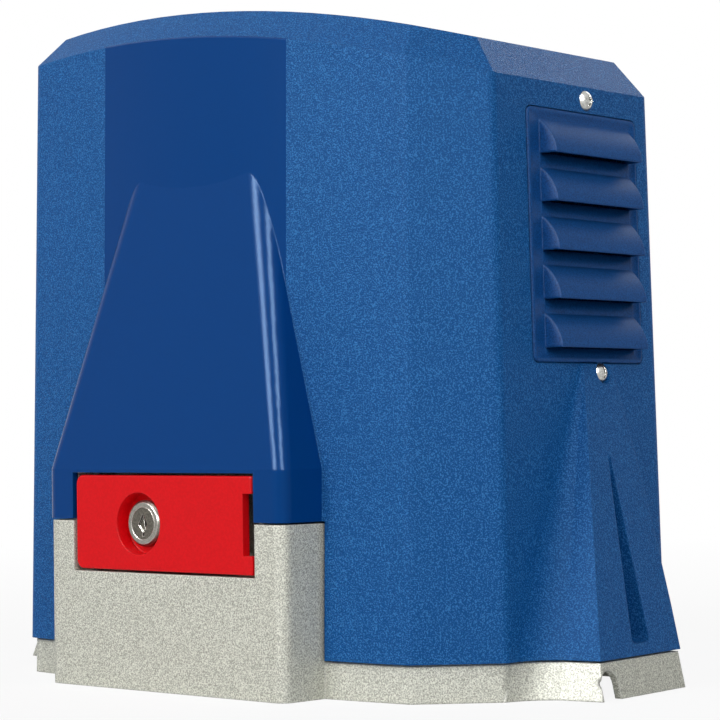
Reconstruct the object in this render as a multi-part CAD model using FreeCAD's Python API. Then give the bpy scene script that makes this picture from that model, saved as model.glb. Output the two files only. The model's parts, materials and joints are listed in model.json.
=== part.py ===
"""Sliding gate motor: cast base, moulded cover, worm gearbox and key release.

Frame: millimetres, +Z up. The origin is the middle of the cover's plan on the
mounting face. -Y is the front with the release door, +Y the gate side with the
pinion, and +X the side with the air vent.
"""
import FreeCAD, Part
import math
import os

os.makedirs("parts", exist_ok=True)
V = FreeCAD.Vector
X, Y, Z = V(1, 0, 0), V(0, 1, 0), V(0, 0, 1)

# ---- driving dimensions ----------------------------------------------------
half_width = 144.0          # side face to centre, on the mounting face
half_depth = 87.0           # front and back faces, at their ends
face_bow = 8.0              # bulge of the front and back faces at their middle
corner_run = 29.0           # plan size of the 45 degree corner facets
corner_round = 6.0          # rounding between facets
draft = 0.0192              # lean of every cover wall, inward per mm of height
wall = 3.0                  # moulded cover
crown_radius = 685.0        # top surface, an arc seen from the front
crown_apex_x = -59.0
crown_top = 301.0
edge_chamfer = 13.0         # round the top surface
skirt_top = 15.3            # upper edge of the cast skirt
seam_gap = 0.8              # open joint between skirt and cover
skirt_inset = 2.2           # the casting stands this far inside the cover
foot_inset = 0.9            # and this far at the side feet
box_inset = 0.5             # and this far at the release box
cast_wall = 3.4
floor_thick = 8.0
lip_thick = 2.5             # spigot inside the cover's lower edge
lip_gap = 0.4
lip_top = 27.0
foot_roof_low, foot_roof_high = 11.5, 14.5
foot_hollow_x = 114.0       # the side feet are open from below, out from here
foot_hollow_half = 46.0

hood_x = -1.6               # middle of hood and box
hood_front = 113.0          # front face of hood and box, in front of centre
hood_fold = 96.0            # where the hood starts to lean back
hood_lean = math.radians(10.2)
hood_half = 71.9            # half width of the front face, below the fold
hood_half_top = 38.4
hood_top = 240.0
hood_flare = 0.09           # flanks open towards the cover, per mm
hood_round = 6.0
hood_round_top = 10.5
box_top = 73.2              # cast box that carries the release
box_wall = 5.0
box_seam = 1.1              # the cover's edge stands this far off the box

flare_top = 140.0           # side foot flares
flare_reach = 174.9         # outer face on the mounting face
flare_slope = 0.236
flare_turn = 2.2            # the outer face's rear edge lies this much less far out
flare_front, flare_front_top = -35.6, 1.0
flare_rear, flare_rear_top = 31.0, 21.0
flare_blend = 23.2          # plan length of the hollow blend to the side face
flare_steps = 4
groove_top, groove_bottom = 110.0, 21.0
groove_y0, groove_y1 = -5.5, 8.0
groove_depth = 14.0
groove_round = 3.0
notch_y0, notch_y1 = -33.2, -20.2
notch_height = 12.0

door_x = -0.7
door_half = 53.7
door_low, door_high = 52.0, 93.4
door_thick = 4.0
door_gap = 1.1
hinge_gap = 2.2
door_round = 4.0
pull_depth, pull_low, pull_high = 5.0, 60.0, 86.0
pocket_depth = 26.0
pocket_wall = 3.0
hinge_from_edge, hinge_back = 8.4, 5.5
hinge_pin_r = 2.2
hinge_eye_r = 4.4
running_fit = 0.05
lock_x, lock_z = -14.7, 72.4
lock_r = 10.1
lock_recess_r = 13.5
lock_set_back = 2.8
lock_rim = 1.1
plug_r = 7.0
lock_length = 15.0
pad_gap = 5.7               # the release pad stands this far behind the panel

shaft_height = 72.0         # output shaft over the mounting face
shaft_r = 12.5
gear_module = 3.0
wheel_teeth = 30
worm_pitch_r = 12.0
wheel_width = 22.0
mesh_backlash = 1.0
pinion_module = 4.0
pinion_teeth = 18
pinion_width = 28.0
pinion_start = 100.0
rotor_shaft_r = 7.5
can_r = 54.0
can_wall = 3.5
can_low, can_high = 134.0, 222.0
air_gap = 0.6
rotor_r = 30.0

vent_low, vent_high = 139.5, 247.2
vent_rear, vent_front = 46.5, -34.0
vent_plate = 2.0
vent_ledge = 5.0
louvre_count = 5
louvre_pitch = 20.55
louvre_first = 145.5
louvre_rise = 14.5
louvre_reach = 9.0
louvre_half = 36.0
louvre_end = 6.0
louvre_skin = 1.6
screw_head_r = 4.5
screw_shank_r = 1.9

stud_x, stud_y = 112.0, 56.0
stud_hole_r = 5.5
cable_x, cable_y = 88.0, -62.0
cable_hole_r = 14.0
grommet_bore_r = 10.0
level_x, level_y = 158.0, 12.0      # levelling screws in the side feet
level_r = 5.0

plunger_r = 4.0             # release plunger behind the door
plunger_x = 24.0
plunger_travel = 6.0
slot_half_width = 33.0      # slot in the cover round the shaft boss
foot_seat = 14.0            # gearbox feet sit on bosses at this height
foot_bolt_r = 4.0

lug_x, lug_z = 62.0, 40.0   # cover lugs and their screws
lug_half, lug_depth = 7.0, 11.0
cover_screw_r = 2.0
hub_r = 34.0                # hub that carries the worm wheel
bearing_r, bearing_width = 17.5, 11.0   # rotor bearings
upper_bearing = 112.0
bearing_step = 5.0          # the lowest bearing over the feet's lower face
seat_gap = 0.2              # between castings that lie side by side
foot_top = 20.0
tunnel_wall = 5.5
motor_flange = 8.0
boss_r = 29.0
out_bearing_r, out_bearing_width = 23.5, 12.0
rear_bearing, front_bearing = 74.0, -29.0
boss_end = 94.0
flange_y, flange_thick = 82.0, 4.0
flange_top = 118.0
plug_hole_r = 6.0
oil_plug_place = (26.0, 0.0)
key_half, key_rise = 4.0, 3.3
limit_y, limit_low, limit_high = 64.0, 141.0, 168.0     # limit switch
lever_z, lever_end = 134.0, 124.0
rack_x0, rack_x1 = 30.0, 122.0     # upright bracket for board and capacitor
rack_y, rack_thick = -44.0, 2.0
rack_top = 236.0
board_low, board_high = 122.0, 230.0
trafo_x, trafo_y = 84.0, 22.0       # transformer, on the floor
cap_r, cap_x, cap_low, cap_high = 17.0, 100.0, 64.0, 146.0
cap_stand = 19.0            # capacitor axis behind its bracket

# ---- worked out ------------------------------------------------------------
wheel_pitch_r = gear_module * wheel_teeth / 2
worm_x = -(wheel_pitch_r + worm_pitch_r)
worm_lead = math.pi * gear_module
pinion_pitch_r = pinion_module * pinion_teeth / 2
hood_plane = -hood_front
door_left, door_right = door_x - door_half, door_x + door_half
opening_left, opening_right = door_left - hinge_gap, door_right + door_gap
hinge_x = door_left + hinge_from_edge
lock_face = hood_plane + lock_set_back
pad_face = hood_plane + door_thick + pad_gap
opening_low = door_low - door_gap
opening_high = door_high + door_gap
pocket_back = hood_plane + pocket_depth
plunger_place = (plunger_x, lock_z)
lock_place = (lock_x, lock_z)
earth_place = (20.0, -62.0)
rear_slot_top = shaft_height + 38.0
wheel_tip_r = wheel_pitch_r + 0.8 * gear_module
chamber_r = wheel_tip_r + 3.6
chamber_wall = 9.0
cover_plate = 6.0
chamber_half = wheel_width / 2 + 3.0
rotor_bearing_places = (foot_seat + bearing_step, upper_bearing, can_high + 3)
pinion_end = pinion_start + pinion_width
cap_y = rack_y + rack_thick + cap_stand
trafo_low = floor_thick


# ---- small helpers ---------------------------------------------------------
def box(x0, x1, y0, y1, z0, z1):
    return Part.makeBox(x1 - x0, y1 - y0, z1 - z0, V(x0, y0, z0))


def rod(radius, start, end, at=(0, 0), axis=Z):
    """Cylinder along an axis; `at` is its place in the other two axes."""
    spots = {"x": V(start, at[0], at[1]), "y": V(at[0], start, at[1]), "z": V(at[0], at[1], start)}
    name = "x" if axis == X else "y" if axis == Y else "z"
    return Part.makeCylinder(radius, end - start, spots[name], axis)


def tube(outer, inner, start, end, at=(0, 0), axis=Z):
    return rod(outer, start, end, at, axis).cut(rod(inner, start - 1, end + 1, at, axis))


def join(first, *others):
    return first.multiFuse(list(others)).removeSplitter()


def compound(shapes):
    return Part.makeCompound(shapes)


def polygon(points, z=None):
    vectors = [V(*p) if z is None else V(p[0], p[1], z) for p in points]
    return Part.makePolygon(vectors + vectors[:1])


def save(name, shape):
    if not shape.isValid():
        print("not valid:", name)
    shape.exportStep("parts/" + name + ".step")
    print(f"{name:22s} solids {len(shape.Solids):3d}  volume {shape.Volume:12.1f}")


def offset_corners(points, inset):
    """Corners of a closed outline (anticlockwise) with every side moved inward."""
    lines = []
    for (ax, ay), (bx, by) in zip(points, points[1:] + points[:1]):
        length = math.hypot(bx - ax, by - ay)
        dx, dy = (bx - ax) / length, (by - ay) / length
        lines.append((ax - dy * inset, ay + dx * inset, dx, dy))
    corners = []
    for (ax, ay, adx, ady), (bx, by, bdx, bdy) in zip(lines[-1:] + lines[:-1], lines):
        along = ((bx - ax) * -bdy + bdx * (by - ay)) / (bdx * ady - adx * bdy)
        corners.append((ax + adx * along, ay + ady * along))
    return corners


# ---- the moulded form shared by cover and base ------------------------------
def plan_outline(inset, z):
    """Eight sided plan with bowed front and back."""
    run_x, run_y = half_width - corner_run, half_depth - corner_run
    right = [(run_x, -half_depth), (half_width, -run_y), (half_width, run_y), (run_x, half_depth)]
    left = [(-x, -y) for x, y in right]
    corners = offset_corners(left[-1:] + right + left[:-1], inset)
    edges = []
    for (ax, ay), (bx, by) in zip(corners, corners[1:] + corners[:1]):
        a, b = V(ax, ay, z), V(bx, by, z)
        if abs(ay - by) < 1e-6:
            bow = face_bow if ay > 0 else -face_bow
            edges.append(Part.Arc(a, V((ax + bx) / 2, ay + bow, z), b).toShape())
        else:
            edges.append(Part.LineSegment(a, b).toShape())
    return Part.Wire(edges)


def crown_block(drop):
    """Everything under the arched top surface, lowered by `drop`."""
    reach, depth = half_width + 60, half_depth + 60
    middle = crown_top - crown_radius

    def top(x):
        rise = math.sqrt((crown_radius - drop) ** 2 - (x - crown_apex_x) ** 2)
        return V(x, -depth, middle + rise)

    low_left, low_right = V(-reach, -depth, -20), V(reach, -depth, -20)
    wire = Part.Wire([
        Part.LineSegment(low_left, low_right).toShape(),
        Part.LineSegment(low_right, top(reach)).toShape(),
        Part.Arc(top(reach), top(0), top(-reach)).toShape(),
        Part.LineSegment(top(-reach), low_left).toShape(),
    ])
    return Part.Face(wire).extrude(V(0, 2 * depth, 0))


def main_form(inset):
    over = crown_top + 30
    wires = [plan_outline(inset, 0), plan_outline(inset + draft * over, over)]
    body = Part.makeLoft(wires, True, True).common(crown_block(inset))
    top = max(body.Faces, key=lambda f: f.CenterOfMass.z)
    body = body.makeChamfer(edge_chamfer - 0.4 * inset, top.Edges)
    upright = [e for e in body.Edges if len(e.Vertexes) == 2
               and abs(e.Vertexes[0].Point.z - e.Vertexes[1].Point.z) > crown_top / 2]
    return body.makeFillet(max(corner_round - inset, 1.5), upright)


def hood_section(inset, z, half, face_y, rounding):
    """Plan of the hood at one height: a front, two rounded edges and flaring flanks."""
    rear = -half_depth + 20
    side = half - inset
    front = face_y + inset
    tip = side + hood_flare * (rear - front)
    angle = math.atan(hood_flare)
    radius = max(rounding - inset, 2.0)
    back = radius * math.tan((math.pi / 2 - angle) / 2)
    cut_x, cut_y = back * math.sin(angle), back * math.cos(angle)
    bulge = math.pi / 4 + angle / 2

    def arc(sign):
        start = V(hood_x + sign * (side - back), front, z)
        middle = V(hood_x + sign * (side - back + radius * math.cos(bulge)),
                   front + radius * (1 - math.sin(bulge)), z)
        end = V(hood_x + sign * (side + cut_x), front + cut_y, z)
        return start, middle, end

    right, left = arc(1), arc(-1)
    far_right, far_left = V(hood_x + tip, rear, z), V(hood_x - tip, rear, z)
    return Part.Wire([
        Part.LineSegment(left[0], right[0]).toShape(),
        Part.Arc(*right).toShape(),
        Part.LineSegment(right[2], far_right).toShape(),
        Part.LineSegment(far_right, far_left).toShape(),
        Part.LineSegment(far_left, left[2]).toShape(),
        Part.Arc(left[2], left[1], left[0]).toShape(),
    ])


def hood_form(inset):
    lean_back = (hood_top - hood_fold) * math.tan(hood_lean)
    low = hood_section(inset, 0, hood_half, hood_plane, hood_round)
    fold = hood_section(inset, hood_fold, hood_half, hood_plane, hood_round)
    high = hood_section(inset, hood_top, hood_half_top, hood_plane + lean_back, hood_round_top)
    lower = Part.makeLoft([low, fold], True, True)
    upper = Part.makeLoft([fold, high], True, True)
    return join(lower, upper)


def flare_section(inset, side_inset, z):
    """Bell shaped plan of a side foot at one height."""
    share = z / flare_top
    outer = flare_reach - flare_slope * z - inset
    outer_rear = outer - flare_turn * (1 - share)
    front = flare_front + (flare_front_top - flare_front) * share + inset
    rear = flare_rear_top + (flare_rear - flare_rear_top) * (1 - share ** 2.2) - inset
    side = half_width - draft * z - side_inset
    blend = flare_blend * (1 - 0.9 * share)
    reach = outer - side
    inner = half_width - 30
    ease = 0.3 * inset

    root, edge = V(side, front - blend, z), V(outer, front, z)
    hollow = V(side + 0.15 * reach + ease, front - 0.48 * blend - ease, z)
    wall_start = V(side + 0.43 * reach, front - 0.16 * blend, z)
    back_edge, back_root = V(outer_rear, rear, z), V(side, rear + blend, z)
    back_hollow = V(side + 0.32 * reach + ease, rear + 0.22 * blend + ease, z)
    inside = [V(inner, back_root.y, z), V(inner, root.y, z)]
    return Part.Wire([
        Part.Arc(root, hollow, wall_start).toShape(),
        Part.LineSegment(wall_start, edge).toShape(),
        Part.LineSegment(edge, back_edge).toShape(),
        Part.Arc(back_edge, back_hollow, back_root).toShape(),
        Part.LineSegment(back_root, inside[0]).toShape(),
        Part.LineSegment(inside[0], inside[1]).toShape(),
        Part.LineSegment(inside[1], root).toShape(),
    ])


def groove_form(inset):
    """Tapered groove in the foot's outer face, deepest and widest at its foot."""
    floor_low = flare_reach - flare_slope * groove_bottom - groove_depth - inset
    floor_high = flare_reach - flare_slope * groove_top - inset
    far = flare_reach + 20
    point, tip_half = groove_y1 - 2, 0.2 + inset
    low_z = groove_bottom - inset
    low = polygon([(floor_low, groove_y0 - inset), (far, groove_y0 - inset),
                   (far, groove_y1 + inset), (floor_low, groove_y1 + inset)], low_z)
    high = polygon([(floor_high, point - tip_half), (far, point - tip_half),
                    (far, point + tip_half), (floor_high, point + tip_half)], groove_top)
    corners = rounded_plate(groove_y0 - inset, groove_y1 + inset, low_z, groove_top + 20,
                            floor_low - 5, far + 5, groove_round + inset)
    return Part.makeLoft([low, high], True, True).common(corners)


def flare_form(inset, side_inset):
    """One foot flare on the +X side."""
    heights = [flare_top * step / flare_steps for step in range(flare_steps + 1)]
    sections = [flare_section(inset, side_inset, z) for z in heights]
    return Part.makeLoft(sections, True, True).cut(groove_form(inset))


def form(inset, feet=None, box=None):
    """The whole outside, moved inward; feet and release box may have their own inset."""
    right = flare_form(inset if feet is None else feet, inset)
    left = right.mirror(V(0, 0, 0), X)
    return main_form(inset).multiFuse([hood_form(inset if box is None else box), right, left])


def slab(low, high):
    reach = 400
    return box(-reach, reach, -reach, reach, low, high)


# ---- vent plane ------------------------------------------------------------
def on_vent_side(shape):
    """Places a shape drawn on the plane x=0 onto the leaning +X wall."""
    placed = shape.copy()
    placed.rotate(V(0, 0, 0), Y, -math.degrees(math.atan(draft)))
    placed.translate(V(half_width, 0, 0))
    return placed


def rounded_plate(y0, y1, z0, z1, x0, x1, radius):
    plate = box(x0, x1, y0, y1, z0, z1)
    along = [e for e in plate.Edges if abs(e.tangentAt(0).x) > 0.9]
    return plate.makeFillet(radius, along)


def louvre(skin, drop, z):
    """Quarter round hood over one air slot; skin shrinks it, drop opens it below."""
    reach, rise = louvre_reach - skin, louvre_rise - skin
    low = z - drop
    bend = math.sqrt(0.5)
    root, lip = V(-vent_plate - 1, 0, z + rise), V(reach, 0, z)
    wire = Part.Wire([
        Part.LineSegment(V(-vent_plate - 1, 0, low), V(reach, 0, low)).toShape(),
        *([Part.LineSegment(V(reach, 0, low), lip).toShape()] if drop else []),
        Part.Arc(lip, V(reach * bend, 0, z + rise * bend), V(0, 0, z + rise)).toShape(),
        Part.LineSegment(V(0, 0, z + rise), root).toShape(),
        Part.LineSegment(root, V(-vent_plate - 1, 0, low)).toShape(),
    ])
    half = louvre_half - skin
    block = Part.Face(wire).extrude(V(0, 2 * half, 0))
    block.translate(V(0, -half, 0))
    ends = polygon([(-vent_plate - 1, -half), (0, -half), (louvre_reach, -half + louvre_end),
                    (louvre_reach, half - louvre_end), (0, half), (-vent_plate - 1, half)], low - 1)
    return block.common(Part.Face(ends).extrude(V(0, 0, rise + drop + 2)))


def louvre_places():
    return [louvre_first + louvre_pitch * i for i in range(louvre_count)]


def vent_centre():
    return (vent_front + vent_rear) / 2


def vent_grille():
    plate = rounded_plate(vent_front, vent_rear, vent_low, vent_high, -vent_plate, 0.0, 3.0)
    hoods = []
    slots = []
    for z in louvre_places():
        hood = louvre(0, 0, z)
        hood.translate(V(0, vent_centre(), 0))
        hoods.append(hood.common(slab_x(-vent_plate, 40)))
        slot = louvre(louvre_skin, 3.0, z)
        slot.translate(V(0, vent_centre(), 0))
        slots.append(slot.common(slab_above(z, -vent_plate - 2, 40)))
    return on_vent_side(join(plate, *hoods).cut(compound(slots)))


def slab_x(low, high):
    return box(low, high, -300, 300, 0, 400)


def slab_above(lip, low, high):
    """Keeps the air slot off the plate below the louvre's lip."""
    return join(box(0, high, -300, 300, lip - 5, lip + 40), box(low, 0.5, -300, 300, lip + 1, lip + 40))


def vent_opening():
    """Shallow seat for the grille plate and the window behind it."""
    clear = 0.4
    seat = rounded_plate(vent_front - clear, vent_rear + clear, vent_low - clear,
                         vent_high + clear, -vent_plate, 20.0, 3.0 + clear)
    window = box(-20, 20, vent_front + vent_ledge, vent_rear - vent_ledge,
                 vent_low + vent_ledge, vent_high - vent_ledge)
    return on_vent_side(join(seat, window))


def pan_screw(head_r, head_h, shank_r, shank_l):
    """Pan head screw with a cross recess; head above z=0, shank below."""
    sphere_r = (head_r ** 2 + head_h ** 2) / (2 * head_h)
    head = Part.makeSphere(sphere_r, V(0, 0, head_h - sphere_r)).common(rod(head_r, 0, head_h + 1))
    arm, thin = head_r * 0.55, head_r * 0.13
    recess = join(box(-arm, arm, -thin, thin, head_h * 0.45, head_h + 1),
                  box(-thin, thin, -arm, arm, head_h * 0.45, head_h + 1))
    return join(head.cut(recess), rod(shank_r, -shank_l, 0.2))


def vent_screw_spots():
    return [(9.6, 253.0), (14.0, 135.0)]


def vent_screws():
    shapes = []
    for y, z in vent_screw_spots():
        screw = pan_screw(screw_head_r, 2.6, screw_shank_r, 9.0)
        screw.rotate(V(0, 0, 0), Y, 90)
        screw.translate(V(0, y, z))
        shapes.append(on_vent_side(screw))
    return compound(shapes)


def vent_screw_holes():
    holes = [on_vent_side(join(rod(screw_shank_r, -12, 5, spot, X), rod(screw_head_r + 0.3, 0, 9, spot, X)))
             for spot in vent_screw_spots()]
    return compound(holes)


# ---- cover -----------------------------------------------------------------
def cover_lug_spots():
    return [(-lug_x, lug_z), (lug_x, lug_z)]


def cover():
    shell = form(0).cut(form(wall)).common(slab(skirt_top + seam_gap, 400))
    under_hood = hood_form(-box_seam).common(slab(-1, box_top + seam_gap))
    under_hood = under_hood.common(box(-200, 200, -200, -half_depth + 8, -2, 200))
    door_notch = box(opening_left, opening_right, -200, hood_plane + 2 * wall, box_top, opening_high)
    slot_half = slot_half_width
    slot_top = rear_slot_top
    rear_slot = join(box(-slot_half, slot_half, half_depth - 8, 200, 0, slot_top),
                     rod(slot_half, half_depth - 8, 200, (0, slot_top), Y))
    shell = shell.cut(compound([under_hood, door_notch])).cut(rear_slot)
    shell = shell.cut(vent_opening()).cut(vent_screw_holes())
    holes = [rod(2.6, half_depth - 12, 200, spot, Y) for spot in cover_lug_spots()]
    return shell.cut(compound(holes))


# ---- base casting ----------------------------------------------------------
def side_notch():
    """Drain arch through the outer wall, beside the foot's front corner."""
    radius = (notch_y1 - notch_y0) / 2
    spot = ((notch_y0 + notch_y1) / 2, notch_height - radius)
    start = flare_reach - foot_inset - 2 * cast_wall
    return join(box(start, start + 30, notch_y0, notch_y1, -1, spot[1]),
                rod(radius, start, start + 30, spot, X))


def release_pocket():
    """Open fronted cast pocket behind the door."""
    return box(opening_left - pocket_wall, opening_right + pocket_wall, hood_plane + wall + 0.6,
               pocket_back + pocket_wall, opening_low - pocket_wall, opening_high + pocket_wall)


def pocket_space():
    return box(opening_left, opening_right, -200, pocket_back, opening_low, opening_high)


def cover_lug(x, z):
    """Upright lug behind the rear wall that takes a cover screw."""
    corner = rear_face(abs(x) + lug_half, z + lug_half)
    return box(x - lug_half, x + lug_half, half_depth - lug_depth, corner - wall - lip_gap,
               floor_thick - 1, z + lug_half)


def foot_region(low, high, margin):
    """The part of both side feet between two heights."""
    start, half = foot_hollow_x - margin, foot_hollow_half + margin
    right = box(start, 200, -half, half, low, high)
    return compound([right, right.mirror(V(0, 0, 0), X)])


def base_casting():
    outside = form(skirt_inset, foot_inset, box_inset)
    skirt = outside.common(slab(0, skirt_top))
    skirt = skirt.cut(form(skirt_inset + cast_wall).common(slab(floor_thick, 400)))
    roof = form(skirt_inset + 1).common(foot_region(floor_thick - 1, foot_roof_high, cast_wall))
    lip_form = wall + lip_gap
    lip = form(lip_form).cut(form(lip_form + lip_thick)).common(slab(floor_thick, lip_top))
    front_block = hood_form(box_inset).common(slab(0, box_top))
    front_block = front_block.common(box(-200, 200, -200, -half_depth + 6, -1, 200))
    hollow = hood_form(box_inset + box_wall).common(slab(floor_thick, box_top - box_wall))
    lip = lip.cut(hood_form(-1).common(slab(0, 400)))
    lip = lip.cut(box(-slot_half_width - 4, slot_half_width + 4, 40, 200, floor_thick, 400))
    body = skirt.multiFuse([front_block.cut(hollow), roof, lip, release_pocket()])
    under = form(foot_inset + cast_wall).common(foot_region(-1, foot_roof_low, 0))
    body = body.cut(under)
    bosses = [rod(9, floor_thick - 1, foot_seat, spot) for spot in gearbox_feet()]
    bosses += [rod(level_r + 3, 1, foot_roof_low + 1, (side * level_x, level_y)) for side in (-1, 1)]
    bosses += [rod(plunger_r + 4, pocket_back + 1, pocket_back + 12, plunger_place, Y)]
    bosses += [cover_lug(x, z) for x, z in cover_lug_spots()]
    body = body.multiFuse(bosses).cut(pocket_space())
    cuts = [rod(stud_hole_r, -1, 60, (sx * stud_x, sy * stud_y)) for sx in (-1, 1) for sy in (-1, 1)]
    cuts += [rod(level_r, -1, 60, (side * level_x, level_y)) for side in (-1, 1)]
    cuts += [rod(foot_bolt_r, floor_thick - 1, 60, spot) for spot in gearbox_feet()]
    cuts += [rod(cover_screw_r, half_depth - 15, 200, spot, Y) for spot in cover_lug_spots()]
    cuts += [rod(2.5, floor_thick - 6, floor_thick + 1, earth_place)]
    cuts += [rod(cable_hole_r, -1, 40, (cable_x, cable_y)), side_notch()]
    cuts += [rod(hinge_pin_r, opening_low - 6, opening_high + 6, hinge_place())]
    cuts += [rod(plunger_r + running_fit, pocket_back - 1, pocket_back + 13, plunger_place, Y)]
    return body.cut(compound(cuts)).removeSplitter()


def hinge_place():
    return hinge_x, hood_plane + hinge_back


# ---- release door and lock --------------------------------------------------
def release_door():
    front, back = hood_plane, hood_plane + door_thick
    left = rounded_plate_y(door_left, door_right + 10, door_low, door_high, front, back, door_round)
    right = rounded_plate_y(door_left - 10, door_right, door_low, door_high, front, back, 0.8)
    panel = left.common(right)
    swing_edge = [e for e in panel.Edges if abs(e.tangentAt(0).z) > 0.9
                  and abs(e.CenterOfMass.x - door_left) < 0.1 and e.CenterOfMass.y < front + 0.1]
    panel = panel.makeFillet(1.0, swing_edge)
    eye = rod(hinge_eye_r, door_low, door_high, hinge_place())
    cup = rod(lock_recess_r + 2.2, back - 0.5, back + 5.0, lock_place, Y)
    pad = box(plunger_x - 6, plunger_x + 6, back - 0.5, pad_face, lock_z - 6, lock_z + 6)
    rib_ends = (hinge_x, door_right - 8, back - 0.5, back + 3.0)
    ribs = [box(*rib_ends, z, z + 3) for z in (door_low + 2, door_high - 5)]
    door = join(panel, eye, cup, pad, *ribs)
    recess = rod(lock_recess_r, front - 1, back + 3.0, lock_place, Y)
    bore = rod(lock_r, front, back + 20, lock_place, Y)
    pull = box(door_right - pull_depth, door_right + 5, front - 1, back + 1, pull_low, pull_high)
    pin_hole = rod(hinge_pin_r + running_fit, door_low - 1, door_high + 1, hinge_place())
    return door.cut(compound([recess, bore, pull])).cut(pin_hole)


def rounded_plate_y(x0, x1, z0, z1, y0, y1, radius):
    plate = box(x0, x1, y0, y1, z0, z1)
    along = [e for e in plate.Edges if abs(e.tangentAt(0).y) > 0.9]
    return plate.makeFillet(radius, along)


def hex_bar(across_half, y0, y1, at, axis=Y):
    """Hexagonal prism along Y or Z, with an axial place in the other two axes."""
    corner = across_half / math.cos(math.pi / 6)
    points = [(corner * math.cos(math.pi / 3 * i), corner * math.sin(math.pi / 3 * i)) for i in range(6)]
    if axis == Y:
        outline = [V(at[0] + a, y0, at[1] + b) for a, b in points]
    else:
        outline = [V(at[0] + a, at[1] + b, y0) for a, b in points]
    face = Part.Face(Part.makePolygon(outline + outline[:1]))
    return face.extrude(axis * (y1 - y0))


def lock_barrel():
    body = tube(lock_r, plug_r + running_fit, lock_face, lock_face + lock_length, lock_place, Y)
    front = [e for e in body.Edges if abs(e.CenterOfMass.y - lock_face) < 1e-3
             and e.Length > 2 * math.pi * (lock_r + plug_r) / 2]
    return body.makeChamfer(lock_rim, front)


def upright_prism(outline, y0, y1):
    """Prism along Y over an outline given as (across, up) from the lock's middle."""
    points = [V(lock_x + a, y0, lock_z + b) for a, b in outline]
    return Part.Face(Part.makePolygon(points + points[:1])).extrude(V(0, y1 - y0, 0))


def lock_plug():
    """Turning plug with a lozenge shaped shutter seat and a slanting keyway."""
    plug = rod(plug_r, lock_face, lock_face + lock_length + 3.0, lock_place, Y)
    seat = upright_prism([(0, 4.2), (2.6, -0.4), (0.4, -4.4), (-2.9, -0.6)], lock_face - 1, lock_face + 0.9)
    keyway = upright_prism([(-0.4, 3.0), (1.0, 3.0), (2.0, -2.6), (0.6, -2.6)], lock_face - 1, lock_face + 8)
    foot = upright_prism([(-0.2, -3.6), (1.0, -3.6), (1.0, -5.6), (-0.2, -5.6)], lock_face - 1, lock_face + 1.2)
    return plug.cut(join(seat, keyway, foot))


def lock_nut():
    start = hood_plane + door_thick + 5.0
    nut = hex_bar(lock_r + 3.5, start, start + 3.0, lock_place)
    return nut.cut(rod(lock_r, start - 1, start + 4, lock_place, Y))


def lock_cam():
    start = lock_face + lock_length + 0.3
    thick = 2.0
    arm = box(lock_x - 4.5, lock_x + 4.5, start, start + thick, lock_z - 16.0, lock_z)
    disc = rod(9.0, start, start + thick, lock_place, Y)
    return join(arm, disc).cut(rod(plug_r, start - 1, start + 5, lock_place, Y))


def release_plunger():
    start, end = pad_face + 0.3, -44.0
    stem = rod(plunger_r, start, end, plunger_place, Y)
    collar = rod(plunger_r + 2.0, pocket_back + 20, pocket_back + 23, plunger_place, Y)
    return join(stem, collar)


# ---- gears ------------------------------------------------------------------
def involute(angle):
    return math.tan(angle) - angle


def gear_outline(module, teeth, addendum, dedendum, thickness, turn, y):
    """Closed outline of a gear in the plane of one y, with involute flanks."""
    pitch_r = module * teeth / 2
    pressure = math.radians(20)
    base_r = pitch_r * math.cos(pressure)
    tip_r, root_r = pitch_r + addendum, pitch_r - dedendum
    flank = [root_r, max(root_r, base_r) + 0.05, (base_r + tip_r) / 2, tip_r]

    def half_angle(radius):
        at_pitch = thickness / 2 / pitch_r
        if radius <= base_r:
            return at_pitch + involute(pressure)
        return at_pitch + involute(pressure) - involute(math.acos(base_r / radius))

    points = []
    for tooth in range(teeth):
        centre = 2 * math.pi * (tooth + 0.5) / teeth + turn
        rising = [(r, centre - half_angle(r)) for r in flank]
        falling = [(r, centre + half_angle(r)) for r in reversed(flank)]
        points += [V(r * math.cos(a), y, -r * math.sin(a)) for r, a in rising + falling]
    return Part.makePolygon(points + points[:1])


def worm_wheel():
    lean = worm_lead / (2 * math.pi * worm_pitch_r) / wheel_pitch_r
    half = wheel_width / 2
    thickness = math.pi * gear_module / 2 - mesh_backlash / 2
    size = (gear_module, wheel_teeth, 0.8 * gear_module, 1.1 * gear_module, thickness)
    ends = [gear_outline(*size, lean * y, y) for y in (-half, half)]
    rim = Part.makeLoft(ends, True, True)
    rim.translate(V(0, 0, shaft_height))
    return rim.cut(rod(hub_r, -half - 1, half + 1, (0, shaft_height), Y))


def wheel_hub():
    at = (0, shaft_height)
    half = wheel_width / 2
    blank = rod(hub_r, -half, half, at, Y)
    dish = tube(hub_r - 5, shaft_r + 7, 4, half + 1, at, Y)
    dish_front = tube(hub_r - 5, shaft_r + 7, -half - 1, -4, at, Y)
    bore = rod(shaft_r, -half - 1, half + 1, at, Y)
    return blank.cut(compound([dish, dish_front, bore]))


def worm_thread():
    """One start right hand thread, swept along its helix."""
    turns = 4
    low = shaft_height - worm_lead * turns / 2
    root_r, tip_r = worm_pitch_r - 1.0 * gear_module, worm_pitch_r + 0.8 * gear_module
    half = (math.pi * gear_module / 2 - mesh_backlash / 2) / 2
    slope = math.tan(math.radians(20))
    wide = half + (worm_pitch_r - root_r + 0.4) * slope
    slim = half - (tip_r - worm_pitch_r) * slope
    helix = Part.makeHelix(worm_lead, worm_lead * turns, worm_pitch_r)
    section = Part.makePolygon([V(root_r - 0.4, 0, -wide), V(tip_r, 0, -slim), V(tip_r, 0, slim),
                                V(root_r - 0.4, 0, wide), V(root_r - 0.4, 0, -wide)])
    sweep = Part.Wire(helix).makePipeShell([section], True, True)
    thread = Part.Solid(sweep) if sweep.ShapeType == "Shell" else sweep
    thread.translate(V(worm_x, 0, low))
    return thread


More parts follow.
